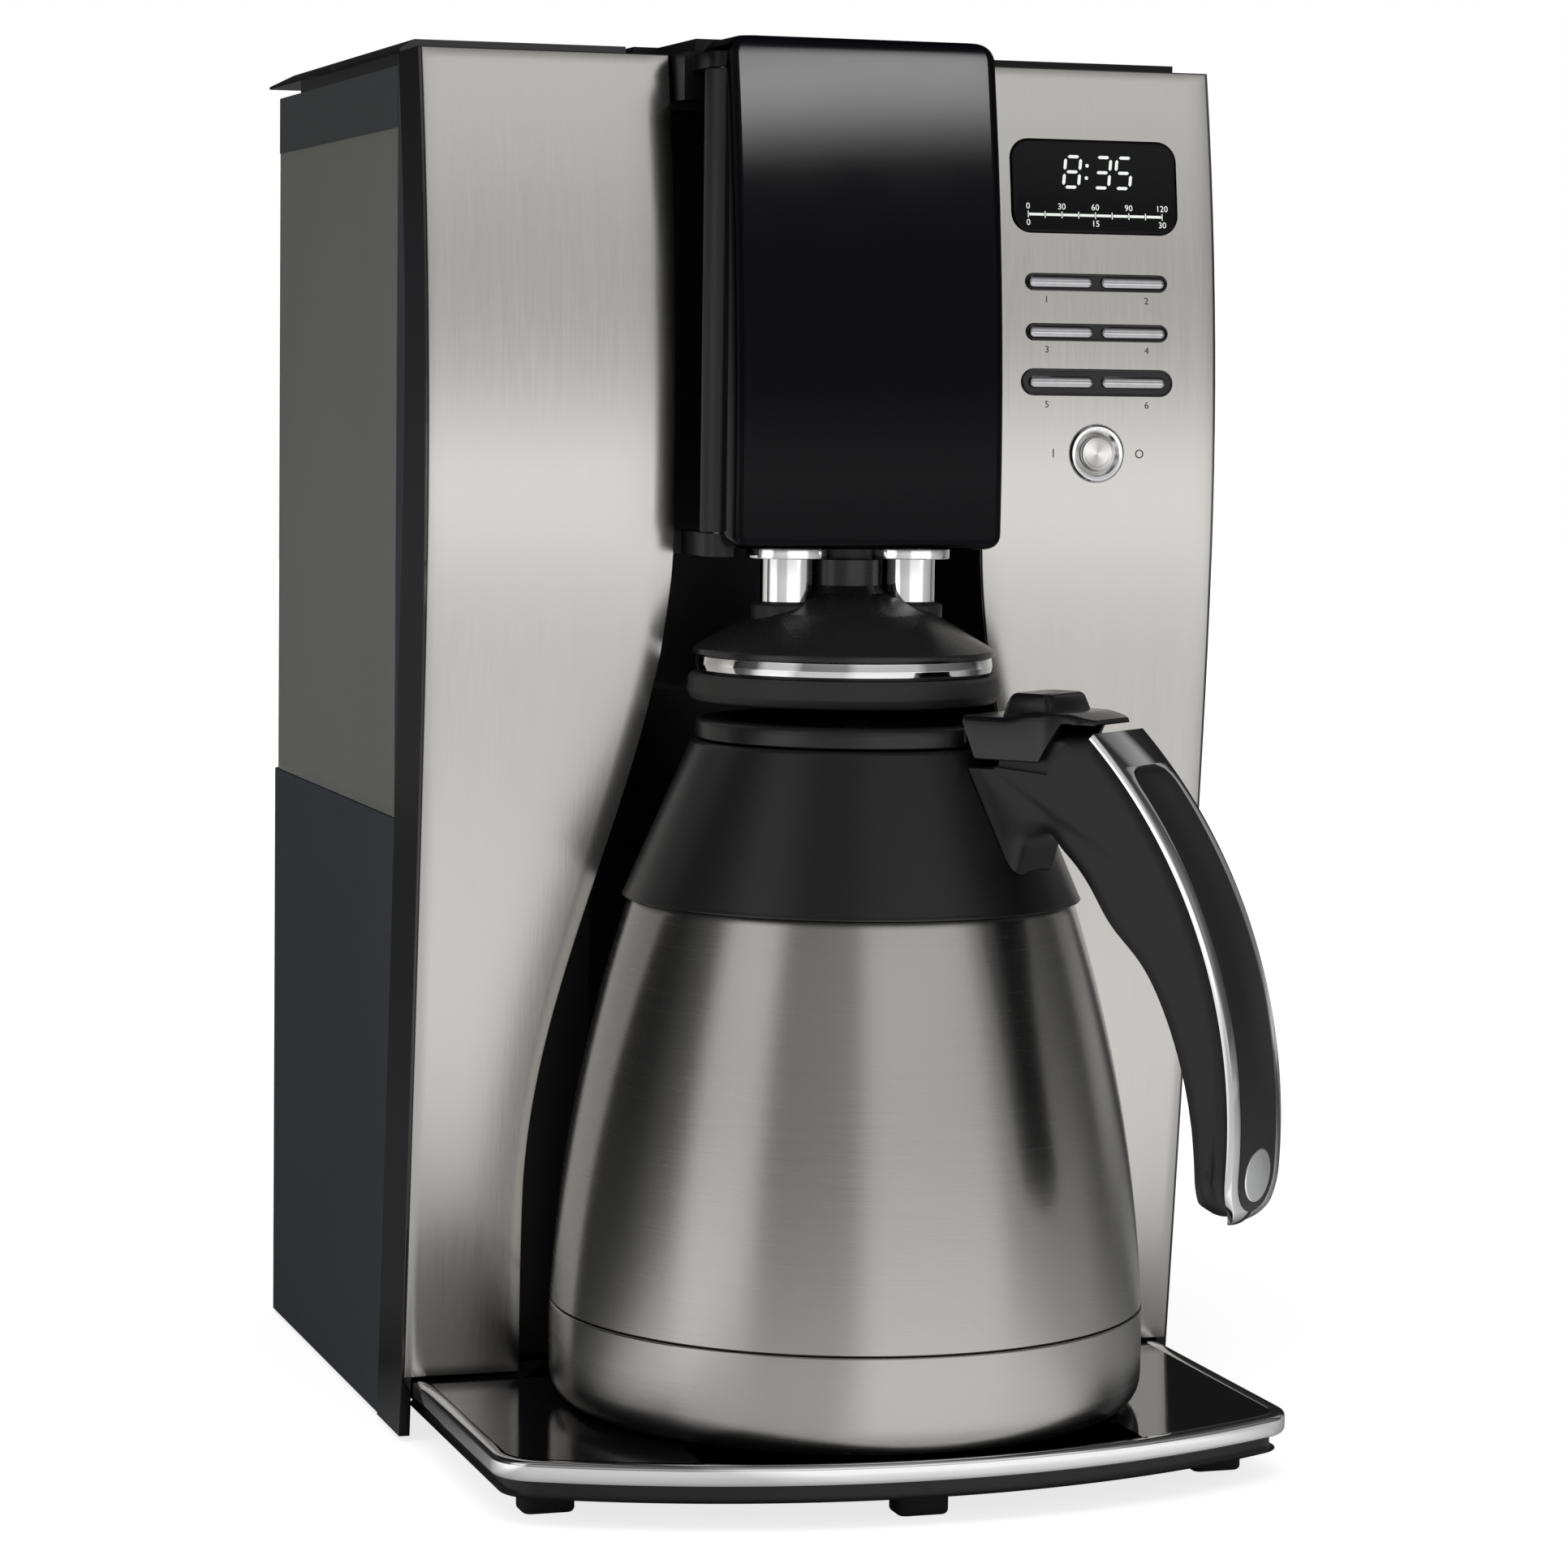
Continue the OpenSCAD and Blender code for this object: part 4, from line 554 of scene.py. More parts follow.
# ------------------------ housing
# The body's sides and back are one textured black moulding with a rounded rear corner,
# closed behind by a cover with air slots and the bushing for the mains cord.
side_grain = Finish("textured side moulding", Specular_IOR_Level=0.4)
pits = side_grain.noise(side_grain.place(), 1300, 5, 0.7)
tint = side_grain.noise(side_grain.place(), 9, 2)
side_grain.put(Base_Color=side_grain.mix(pits * 0.7 + tint * 0.3, (0.03, 0.033, 0.039, 1),
                                         (0.078, 0.085, 0.098, 1)), Roughness=0.42 + pits * 0.2)
side_grain.bump(pits, 0.00025, 0.7)
dressed(side_grain, "housing", "rear_cover", edge=0.4)
dressed(satin_black, "cord_inlet", edge=0.4)

# ------------------------ top cover
# A black plate over the water path, with a tongue that runs forward to the brew head,
# where its upper arm holds the top end of the hinge pin.
cover_black = grained("cover moulding", 300, 3, (0.006, 0.006, 0.007), rough=0.28, vary=0.1,
                      Specular_IOR_Level=0.2)
dressed(cover_black, "top_cover", edge=0.6, steps=3)

# ------------------------ water path
# Hidden in the housing: a cast heater with its two thermostats, a silicone hose from the
# tank's seat, a steel riser up to the spray head, and the two circuit boards.
silicone = grained("pale silicone", 200, 2, (0.46, 0.46, 0.43), (0.56, 0.56, 0.53))
cast = grained("cast aluminium", 700, 4, (0.55, 0.56, 0.58), (0.7, 0.71, 0.73), rough=0.4, vary=0.2,
               dent=(0.0002, 0.4), Metallic=1.0)
lacquer = Finish("green board lacquer", Coat_Weight=0.4, Roughness=0.35)
tracks = lacquer.noise(lacquer.place((1, 1, 3)), 260, 2)
lacquer.put(Base_Color=lacquer.mix(tracks > 0.52, (0.012, 0.1, 0.035, 1), (0.02, 0.17, 0.06, 1)))
bright_steel = grained("bright steel", 900, 3, (0.52, 0.52, 0.53), (0.66, 0.66, 0.67), rough=0.2, vary=0.1,
                       stretch=(1, 1, 0.2), Metallic=1.0)
dressed(cast, "heater", edge=0.5)
dressed(bright_steel, "thermostats", "riser_tube", "hose_clamps", "hinge_pin", "drip_spring")
dressed(silicone, "water_hose", "seat_seal")
dressed(lacquer, "display_board", "control_board")
dressed(satin_black, "spray_head", "valve_seat", edge=0.3)

# ------------------------ screws
# Pan-head screws with cross recesses hold the rear cover and both boards. All thirteen
# are alike apart from their length.
screw_shaft = 1.45
recess_wide, recess_deep = 0.7, 0.9


def lathe(profile, steps=96, closed=False):
    """Turns a profile of (radius, height) round the upright axis."""
    turns = [2 * pi * i / steps for i in range(steps)]
    rings = [[(r * cos(a), r * sin(a), z) for a in turns] for r, z in profile]
    return loft(rings, closed)


def eased(corners, ring=False, steps=5):
    """Rounds a line of (a, b) or (a, b, radius) corners."""
    line, count = [], len(corners)
    for i, corner in enumerate(corners):
        a, b = corner[:2]
        radius = corner[2] if len(corner) > 2 else 0
        if not radius or (not ring and i in (0, count - 1)):
            line.append((a, b))
            continue
        (pa, pb), (na, nb) = corners[i - 1][:2], corners[(i + 1) % count][:2]
        ua, ub, va, vb = pa - a, pb - b, na - a, nb - b
        lu, lv = hypot(ua, ub), hypot(va, vb)
        half = acos(max(-1, min(1, (ua * va + ub * vb) / lu / lv))) / 2
        reach = min(radius / max(0.05, tan(half)), 0.49 * lu, 0.49 * lv)
        for k in range(steps + 1):
            t = k / steps
            p, q = (1 - t) ** 2 * reach / lu, t ** 2 * reach / lv
            line.append((a + ua * p + va * q, b + ub * p + vb * q))
    return line


def moved(shape, place, out=(0, 0, 1), side=(1, 0, 0)):
    """A shape carried to a place, its own z along out and its own x along side."""
    out, side = Vector(out).normalized(), Vector(side).normalized()
    third = out.cross(side)
    points, faces = shape
    return [tuple(Vector(place) + side * x + third * y + out * z) for x, y, z in points], faces


def turned(corners, steps, curve=5):
    """A ring turned from a closed profile of (radius, height, edge radius) corners."""
    return lathe(eased(corners, True, curve), steps, True)


def screw(length):
    head = eased([(0, 1.6), (1.9, 1.55, 0.5), (3, 0.75, 0.4), (3, 0, 0.2), (screw_shaft, 0)])
    return lathe([(screw_shaft, -length)] + head[::-1], 24)


rear_places = [(104, 22), (104, 190), (104, 366.5), (-97, 22), (-97, 157)]
rear_y, board_back, board_margin, control_side = 232, 42.6, 4, 102.4
board_low, board_high = (corner * 1000 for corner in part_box("display_board"))
shafts = [moved(screw(9), (x, rear_y, z), (0, 1, 0)) for x, z in rear_places]
shafts += [moved(screw(6), (x, board_back, z), (0, 1, 0))
           for x in (board_low.x + board_margin, board_high.x - board_margin)
           for z in (board_low.z + board_margin, board_high.z - board_margin)]
shafts += [moved(screw(5), (control_side, y, z), (-1, 0, 0), (0, 0, 1)) for y in (90, 190) for z in (50, 140)]
slots = [stack(round_box(-w, w, -d, d, 0.2, 2), [(0, 1.62 - recess_deep), (0, 3)])
         for w, d in ((recess_wide * 2.4, recess_wide / 2), (recess_wide / 2, recess_wide * 2.4))]
carved(piece("screws", *joined(shafts), "brewer", "wire", bright_steel),
       *[tool(*moved(slot, (x, rear_y, z), (0, 1, 0))) for x, z in rear_places for slot in slots])

# ------------------------ display
# A gloss black lens set into the right panel. Behind it a clock of seven-bar figures
# glows, over a bar in eight steps with a plain scale of numbers.
keys_x, lens_z = 76.3, 342.3
lens_wide, lens_high, lens_corner = 48.4, 25.6, 5.4


def facing(shape, x, z, proud=0.0):
    """Lays a shape drawn in x and y, raised along z, on the tangent of the bowed panel."""
    slope = (bow(z + 1) - bow(z - 1)) / 2
    out = Vector((0, -1, slope)).normalized()
    return moved(shape, (x, bow(z) - proud, z), out)


def stadium(half, radius, steps=10):
    """An anticlockwise bar with half-round ends, lying along x."""
    return [point for side, start in ((1, -pi / 2), (-1, pi / 2))
            for point in arc(radius, start, start + pi, steps + 1, side * (half - radius))]


def opening(plan, x, z, grow=0.2):
    """A tool that cuts a plan through the panel."""
    return tool(*facing(stack(inset(plan, -grow), [(0, -8), (0, 8)]), x, z))


lens_plan = round_box(-lens_wide / 2, lens_wide / 2, -lens_high / 2, lens_high / 2, lens_corner, 8)
lens_gloss = grained("display lens", 40, 2, (0.003, 0.003, 0.0035), rough=0.05, vary=0.05,
                     Specular_IOR_Level=0.15)
piece("display_lens", *facing(stack(lens_plan, [(0, -2.6)] + rounding(0.7, 0.35, True)), keys_x, lens_z),
      "brewer", "display_lens", lens_gloss)

figures_lit = Finish("lit figures", Roughness=0.5, Emission_Strength=0.75)
glow = figures_lit.noise(figures_lit.place(), 500, 2)
figures_lit.put(Base_Color=(0.5, 0.52, 0.5, 1),
                Emission_Color=figures_lit.mix(glow, (0.72, 0.76, 0.72, 1), (0.85, 0.88, 0.84, 1)))
bars_of = {"3": "abgcd", "5": "afgcd", "8": "abcdefg"}
lit_thick = 0.06


def seven_bars(figure, x, y, wide, high, thick=0.85):
    """One figure of up to seven slanted, pointed bars."""
    w, h, t = wide / 2, high / 4, thick / 2
    a, b = w - (t + 0.12), h - (t + 0.12)
    lying = [(-a, 0), (t - a, -t), (a - t, -t), (a, 0), (a - t, t), (t - a, t)]
    upright = [(0, -b), (t, t - b), (t, b - t), (0, b), (-t, b - t), (-t, t - b)]
    places = {"a": (lying, 0, 2 * h), "g": (lying, 0, 0), "d": (lying, 0, -2 * h), "b": (upright, w, h),
              "c": (upright, w, -h), "f": (upright, -w, h), "e": (upright, -w, -h)}
    made = []
    for bar in bars_of[figure]:
        outline, bx, by = places[bar]
        plan = [(x + bx + px + 0.12 * (by + py), y + by + py) for px, py in outline]
        made.append(stack(plan, [(0, 0), (0, lit_thick)]))
    return made


def lettered(words, x, y, high):
    """Plain figures in the built-in face, centred at a place."""
    curve = bpy.data.curves.new("figures", "FONT")
    curve.body, curve.size, curve.extrude = words, high * 1.4, 0.025
    curve.align_x, curve.align_y = "CENTER", "CENTER"
    curve.resolution_u = 3
    text = bpy.data.objects.new("figures", curve)
    mesh = bpy.data.meshes.new_from_object(text)
    bpy.data.objects.remove(text)
    return ([(x + v.co.x, y + v.co.y, v.co.z + 0.03) for v in mesh.vertices],
            [tuple(face.vertices) for face in mesh.polygons])


def block(x0, x1, y0, y1, z0, z1):
    return loft([[(x0, y0, z), (x1, y0, z), (x1, y1, z), (x0, y1, z)] for z in (z0, z1)])


def lit_block(x, y, half_wide, half_high):
    return block(x - half_wide, x + half_wide, y - half_high, y + half_high, 0, lit_thick)


clock = []
for figure, x in (("8", -6.4), ("3", 2.4), ("5", 8.6)):
    clock += seven_bars(figure, x, 4.0, 4.4, 8.4)
for x, y in ((-2.0, 5.8), (-2.3, 2.4)):
    clock.append(moved(lathe([(0.01, 0), (0.5, 0), (0.5, lit_thick), (0.01, lit_thick)], 16), (x, y, 0)))
scale_half, scale_y = 19.6, -7.9
step = scale_half / 4
for i in range(8):
    clock.append(lit_block(-scale_half + (i + 0.5) * step, scale_y, step / 2 - 0.3, 0.35))
for i in range(9):
    clock.append(lit_block(-scale_half + i * step, scale_y, 0.12, 0.9))
for i, figure in enumerate(("0", "30", "60", "90", "120")):
    clock.append(lettered(figure, -scale_half + i * scale_half / 2, -5.7, 1.7))
for i, figure in enumerate(("0", "15", "30")):
    clock.append(lettered(figure, (i - 1) * scale_half, -10.2, 1.7))
piece("clock_figures", *facing(joined(clock), keys_x, lens_z, 0.37),
      "brewer", "display_lens", figures_lit, ())

# ------------------------ keys
# Three black bezels snap into slots in the panel. Each guides two half-round chromed
# keys that a finger pushes in against the switches on the display board.
rows = ((316.2, 20.6, 2.2), (302.6, 20.6, 2.2), (289.0, 22.0, 3.5))
key_half, key_radius, key_apart = 9.4, 1.5, 10.6
key_places = [(z, side, radius) for z, _, radius in rows for side in (-1, 1)]
bezel_edge = [(0.15, -4.1), (0.15, 0), (0, 0.05), (0, 0.3), (0.25, 0.5), (0.5, 0.4), (0.62, 0.05)]
bezels = [facing(stack(stadium(half + 0.15, radius + 0.15, 14), bezel_edge), keys_x, z)
          for z, half, radius in rows]
key_hole = stack(stadium(key_half + 0.1, key_radius + 0.1), [(0, -6), (0, 6)])
carved(piece("key_bezels", *joined(bezels), "brewer", "gloss_black", gloss_black),
       *[tool(*facing(key_hole, keys_x + side * key_apart, z)) for z, side, _ in key_places])

key_plating = grained("key plating", 500, 2, (0.44, 0.44, 0.45), (0.56, 0.56, 0.57), rough=0.16,
                      Metallic=1.0)
key_dome = [(key_radius * (1 - cos(a)), 0.05 + 0.75 * sin(a))
            for a in (pi / 2 * k / 7 * 0.97 for k in range(8))]
key = joined([stack(stadium(key_half, key_radius, 12), [(0, -8.5)] + key_dome),
              stack(stadium(key_half + 0.8, key_radius + 0.8), [(0, -6), (0, -4.8)])])
for i, (z, side, _) in enumerate(key_places):
    name = "bar_key_%d" % (i + 1)
    piece(name, *facing(key, keys_x + side * key_apart, z), name, "chrome_trim", key_plating)

# ------------------------ brew button
# A round push button of spun metal in a bright dished ring, the only round control.
# Plain strokes and figures are printed on the panel beside it and under the keys.
button_z, button_radius, ring_radius = 269.7, 4.7, 7.9
dished_ring = turned([(button_radius + 0.1, -4.5), (button_radius + 0.1, -0.4, 0.2), (5.6, 0.1, 0.6),
                      (6.4, 0.75, 0.5), (7.3, 0.85, 0.3), (ring_radius, 0.3, 0.3), (ring_radius, -0.7, 0.1),
                      (ring_radius + 0.9, -0.8, 0.1), (ring_radius + 0.9, -2), (ring_radius, -4.5)], 64)
ring_chrome = grained("dished ring", 400, 3, (0.86, 0.87, 0.88), (0.95, 0.95, 0.95), rough=0.12, vary=0.1,
                      Metallic=1.0)
piece("button_ring", *facing(dished_ring, keys_x, button_z), "brewer", "chrome_trim", ring_chrome)
# The button's base colour is painted with light and dark fans round its centre: a painted reflection of the
# sheen on spun metal, not a colour of the metal itself.
spun = Finish("spun metal", Metallic=1.0)
here = spun.node("VectorMath", {0: spun.place(), 1: (keys_x / 1000, 0, button_z / 1000)},
                 operation="SUBTRACT")
front_on = spun.node("Mapping", {"Vector": here, "Rotation": (pi / 2, 0, 0)})
# Painted reflection: a sine of the angle round the button lightens and darkens its colour in fans.
turns = spun.node("TexGradient", {"Vector": front_on}, out=1, gradient_type="RADIAL") * (4 * pi) + 0.9
painted_sheen_fans = turns.maths("SINE", turns)
spun.put(Base_Color=spun.mix(painted_sheen_fans * 0.5 + 0.5, (0.5, 0.49, 0.47, 1), (0.92, 0.91, 0.89, 1)), Roughness=0.28)
cap = eased([(0.01, 0.75), (3.4, 0.85, 1), (4.3, 1.0, 0.4), (button_radius, 0.6, 0.3), (button_radius, -9)],
            steps=6) + [(button_radius, -9.9), (0.01, -9.9)]
piece("brew_button", *facing(joined([
    lathe(cap, 64),
    lathe([(0.01, -7.3), (6.2, -7.3), (6.2, -6.1), (0.01, -6.1)], 48)]), keys_x, button_z),
    "brew_button", "chrome_trim", spun)

carved(right_skin, opening(lens_plan, keys_x, lens_z),
       *[opening(stadium(half, radius, 14), keys_x, z) for z, half, radius in rows],
       opening(circle(ring_radius, 64), keys_x, button_z))

ink = grained("printed ink", 3000, 2, (0.01, 0.01, 0.011), (0.022, 0.022, 0.024), rough=0.6)
marks = [facing(lettered(str(i + 1), 0, 0, 1.9), keys_x + side * 14.6, z - radius - 2.6)
         for i, (z, side, radius) in enumerate(key_places)]
ring_mark = [(1.2, 0), (1.2, 0.04), (0.88, 0.04), (0.88, 0)]
marks += [facing(block(-0.16, 0.16, -1.2, 1.2, 0, 0.04), keys_x - 12.6, button_z),
          facing(lathe(ring_mark, 32, closed=True), keys_x + 12.6, button_z)]
piece("key_marks", *joined(marks), "brewer", "black_plastic", ink, ())

# ------------------------ reservoir
# A smoked clear tank that lifts off its valve seat, with a charcoal collar round its
# mouth and a gloss black lid that swings up on pins along its inner edge.
smoked = grained("smoked clear", 12, 2, (0.31, 0.314, 0.29), (0.38, 0.384, 0.356), rough=0.16, vary=0.08,
                 stretch=(1, 1, 0.4), Transmission_Weight=0.35, IOR=1.35, Coat_Weight=0.5,
                 Coat_Roughness=0.04)
charcoal = grained("charcoal collar", 1800, 3, (0.056, 0.06, 0.062), (0.08, 0.084, 0.086), rough=0.4,
                   dent=(0.00005, 0.3))
dressed(smoked, "tank", edge=0.7, steps=3)
dressed(charcoal, "tank_collar", "tank_valve", edge=0.5)
dressed(gloss_black, "reservoir_lid", edge=0.5, steps=3)

# ------------------------ brew door
# The brew head swings out on a steel pin at its left. Its bowed gloss cover clips over a
# satin frame that holds the basket holder and, inside it, the filter basket.
door_half, door_low, door_top, door_proud, door_back, door_wall = 37.2, 244.5, 377.9, 34, 20.5, 2.5


def head_ring(z, shrink, front_back, corner):
    """Plan of the head at a height, its front set back and its sides drawn in."""
    half, front = door_half - shrink, bow(z) - door_proud + front_back
    right = arc(corner, -pi / 2, 0, 7, half - corner, front + corner)
    plan = [(-x, y) for x, y in right[::-1]] + right + [(half, door_back), (-half, door_back)]
    return [(x, y, z) for x, y in plan]


def head_rings(lip=1.8, upper=5, lower=4):
    """The head's rings from below to above, drawn in at both ends to round its lips."""
    below, above = [], []
    for levels, end, edge, count in ((below, door_low, lower, 8), (above, door_top, -upper, 10)):
        for a in np.linspace(0, pi / 2, count):
            levels.append((end + edge * (1 - cos(a)), abs(edge) * (1 - sin(a)),
                           max(0, lip * (1 - sin(min(pi / 2, a * 1.6))))))
    between = [(z, 0, 0) for z in np.linspace(door_low + lower, door_top - upper, 60)[1:-1]]
    return [head_ring(*level, 3) for level in below + between + above[::-1]]


head_gloss = grained("gloss black head", 50, 2, (0.0012, 0.0013, 0.002), rough=0.07, vary=0.05,
                     Specular_IOR_Level=0.08)
hollow_half = door_half - door_wall
hollow = loft([[(x * hollow_half / door_half,
                 max(y, bow(z) - door_proud + door_wall) if y < door_back - 1 else door_back + 6, z)
                for x, y, z in head_ring(z, 0, door_wall, 3)]
               for z in np.linspace(door_low + door_wall, door_top - door_wall + 0.1, 40)])
barrel_side = block(-door_half - 1, -30, 0.3, door_back + 1, door_low - 1, 375.4)
drip_way = lathe([(0.01, door_low - 2), (8.1, door_low - 2), (8.1, door_low + 5), (0.01, door_low + 5)], 48)
door_cover = carved(
    piece("door_cover", *loft(head_rings()), "brew_door", "gloss_black", head_gloss),
    tool(*hollow), tool(*barrel_side), tool(*moved(drip_way, (0, 9, 0))))
head_light = soft_box("head box", (0.42, -1.36, 0.99), (0, -0.09, 0.35), (0.7, 0.33), 29)
beam = Nodes(head_light.data)
up = beam.node("SeparateXYZ", {0: beam.node("NewGeometry", out="Parametric")}, out=1)
feed(beam.tree, beam.tree.nodes["Emission"].inputs["Strength"], 0.1 + (4 * up * (1 - up)) ** 2 * 0.9)
lit_by_head = bpy.data.collections.new("lit by the head box")
bpy.context.scene.collection.children.link(lit_by_head)
lit_by_head.objects.link(door_cover)
head_light.light_linking.receiver_collection = lit_by_head
dressed(satin_black, "door_frame", edge=0.5, steps=3)
dressed(satin_black, "basket_holder", "filter_basket", "drip_stop", edge=0.2)


# ------------------------ struts and hood
# Two chromed sleeves carry a black hood under the head. Its chromed ring and soft seal
# close over the carafe's lid, and a sprung stop in its middle opens the drip hole.
hood_y, strut_apart, strut_back = 9, 17.2, 7


def on_struts(shape):
    return joined([moved(shape, (side * strut_apart, strut_back, 0)) for side in (-1, 1)])


sleeve_side = eased([(0.01, 226), (7.2, 226), (7.2, 241.6, 0.2), (11, 241.6, 0.3), (11, 244.4, 0.4),
                     (0.01, 244.4)])
piece("strut_sleeves", *on_struts(lathe(sleeve_side, 48)), "brew_door", "chrome_trim", chrome)
hood = turned([(8.1, 205.1), (37.3, 205.1, 0.3), (37.3, 215.9), (40.4, 215.9, 0.4), (40.4, 217.4, 0.7),
               (24, 227.1, 6), (11, 232.4, 1), (9.5, 234.5, 0.5), (9.5, 241.3), (8.1, 241.3)], 128)
hood_satin = grained("satin hood", 700, 3, (0.012, 0.012, 0.013), rough=0.24, vary=0.08,
                     Specular_IOR_Level=0.5)
piece("hood", *moved(hood, (0, hood_y, 0)), "brew_door", "gloss_black", hood_satin, angle=55)
collar = turned([(7.35, 225), (9.2, 225), (9.2, 229.4, 0.9), (7.35, 230.2)], 48)
piece("hood_collars", *on_struts(collar), "brew_door", "black_plastic", satin_black, ())
hood_ring = turned([(37.5, 211.6), (39.4, 211.6, 0.5), (39.7, 213.4, 1), (39.4, 215.8, 0.5), (37.5, 215.8)],
                   128)
piece("hood_ring", *moved(hood_ring, (0, hood_y, 0)), "brew_door", "chrome_trim", chrome)
seal = turned([(37.6, 203.7), (40.6, 203.7, 1.2), (41.8, 206.2, 1.5), (41.4, 210.2, 1.0),
               (40.2, 210.9, 0.4), (37.6, 210.9)], 128)
seal_rubber = grained("soft seal", 1200, 3, (0.02, 0.02, 0.02), (0.032, 0.032, 0.032), rough=0.5, vary=0.1,
                      Specular_IOR_Level=0.4)
piece("hood_seal", *moved(seal, (0, hood_y, 0)), "brew_door", "rubber", seal_rubber)

# ------------------------ carafe body
# A double-walled steel flask: a drawn shell over a base cup, with a fine seam between
# them, a liner inside, and a black moulded shoulder that carries the mouth and handle.
belly_z, belly_radius, belly_curve, seam_z, shoulder_z = 20, 79.9, 430, 44, 152


def shell_radius(z):
    return belly_radius - belly_curve + sqrt(belly_curve ** 2 - (z - belly_z) ** 2)


body_steel = brushed("steel brushed round", (30, 30, 2400), base=(0.5, 0.49, 0.475), rough=0.26, streak=0.05,
                     Anisotropic=0.75, Anisotropic_Rotation=0.25)
outside = [(shell_radius(z), z) for z in np.linspace(seam_z + 0.6, shoulder_z - 0.4, 60)]
inside = [(r - 0.7, z) for r, z in outside[::-1]]
shell_side = ([(outside[0][0] - 0.4, seam_z + 0.25)] + outside
              + [(outside[-1][0] - 0.4, shoulder_z - 0.05)] + inside)
piece("carafe_shell", *lathe(shell_side, 192, closed=True),
      "carafe", "steel_body", body_steel)
cup = turned([(56, 18.9, 0.4), (58.5, 17.75, 0.6), (79.3, 17.75, 8.6), (79.4, 36),
              (79.35, seam_z - 0.15, 0.5), (77.5, seam_z + 0.1), (76.8, seam_z + 3.8), (76.4, seam_z + 3.8),
              (76.4, 27), (69, 20.4), (56, 20.4)], 192, 10)
piece("carafe_base", *cup, "carafe", "steel_body", body_steel)
dressed(body_steel, "carafe_liner")

shoulder = turned([(60.0, shoulder_z + 0.15), (61.2, shoulder_z + 0.15, 0.5), (60.6, shoulder_z + 1.2, 0.4),
                   (43.3, 193.0, 1.0), (42.4, 193.7), (38, 193.7), (36, 193.7), (36, 191.3),
                   (40.2, 191.3), (57.6, shoulder_z + 1.2)], 192)
shoulder_satin = grained("satin shoulder", 1500, 3, (0.01, 0.01, 0.011), rough=0.26, vary=0.1)
piece("carafe_shoulder", *shoulder, "carafe", "gloss_black", shoulder_satin, angle=55)

# ------------------------ carafe lid
# A black screwed-in lid with a rounded rim and a dished top. Two ears at its front hold
# the steel pin that the thumb lever rocks on.
lever_turn = radians(40)
pivot_out, pivot_z = 45, 199.5


def spun_out(shape):
    """Carries a shape drawn as (across, out, up) to the side that the handle is on."""
    points, faces = shape
    c, s = cos(lever_turn), sin(lever_turn)
    return [(q * c + out * s, q * s - out * c, z) for q, out, z in points], faces


def across(shape):
    """Turns a shape drawn as (out, up, across) so that its height runs across."""
    points, faces = shape
    return [(q, out, z) for out, z, q in points], faces


lid = turned([(10, 178.0), (33.2, 176.3, 1.0), (33.2, 194.3), (42, 194.3, 0.6), (42, 199.4, 1.8),
              (34.4, 199.4, 0.8), (33.6, 197.3, 0.4), (6.2, 197.0), (6.2, 194.4), (31, 193.6),
              (31, 179.5), (10, 179.5)], 128)
ear_plan = ([(40.5, 195.5), (46.2, 196.6)] + arc(2.4, -0.9, pi * 0.8, 14, pivot_out, pivot_z)
            + [(40.5, 199.2)])
lever_slot = block(-12.7, 12.7, 41.2, 62, 194.6, 205)
ears = [across(loft([[(x, y, q) for x, y in ear_plan] for q in (centre - 1.25, centre + 1.25)]))
        for centre in (-10, 10)]
carved(piece("carafe_lid", *joined([lid] + [spun_out(ear) for ear in ears]),
             "carafe", "gloss_black", shoulder_satin),
       tool(*spun_out(lever_slot)))

# ------------------------ thumb lever
# A moulded saddle between the lid and the handle. Its side flaps hang over the handle's
# flanks, its lip reaches over the handle's top, and a raised pad takes the thumb.
lever_gloss = grained("lever gloss", 300, 3, (0.006, 0.006, 0.007), rough=0.2, vary=0.06)


def ramp(value, low, high):
    """0 below low, 1 above high and a smooth step between them."""
    share = max(0, min(1, (value - low) / (high - low)))
    return share * share * (3 - 2 * share)


def saddle_ring(out):
    """Section of the lever across the handle: a top with a skirt down each side."""
    tail = max(0, out - 71.5) / 6.3
    half = 14.1 - 1.6 * ramp(out, 64, 72) - 3.2 * tail ** 3
    top = 203.0 + 1.7 * ramp(out, 52, 62) - 1.6 * ramp(out, 70, 79)
    skirt = min(202.0, max(191.9 + max(0, 45.3 - out) * 2.55, 191.9 + max(0, out - 64.0) * 1.75))
    skirt = min(skirt, top - 1.4)
    bend, thick = min(2.2, top - skirt), 1.55
    corner = arc(bend, 0, pi / 2, 6, half - bend, top - bend)
    right = [(half - 0.25, skirt), (half, skirt + 0.3)] + corner
    under = max(min(skirt + 0.05, top - 1), 0)
    roof = min(202.1, top - 1.2)
    inner = [(half - thick, max(under, skirt)), (half - thick, max(roof, skirt + 0.04))]
    ring = right + [(-q, z) for q, z in right[::-1]] + [(-q, z) for q, z in inner] + inner[::-1]
    return [(q, out, z) for q, z in ring[::-1]]


stations = np.concatenate([[41.6, 41.8], np.linspace(42.2, 77.4, 72), [77.8]])
saddle = loft([saddle_ring(out) for out in stations])
pad_levels = [(202.2, -1.2), (203.3, -1.0), (204.3, -0.3), (206.5, 0.35), (208.2, 0.9), (208.8, 1.3),
              (209.2, 1.9), (209.15, 3.0), (208.9, 4.5), (208.75, 6.0)]
pad = loft([[(x, y, z) for x, y in round_box(-11 + shrink, 11 - shrink, 51.6 + max(shrink, 0) * 1.2,
                                             66 - shrink, 2.2 if shrink < 2 else 1.4, 5)]
            for z, shrink in pad_levels])


def pivot_rod(radius, steps, half):
    """A rod of a half length across the handle, on the line that the lever rocks about."""
    return across(stack(circle(radius, steps, pivot_out, pivot_z), [(0, -half), (0, half)]))


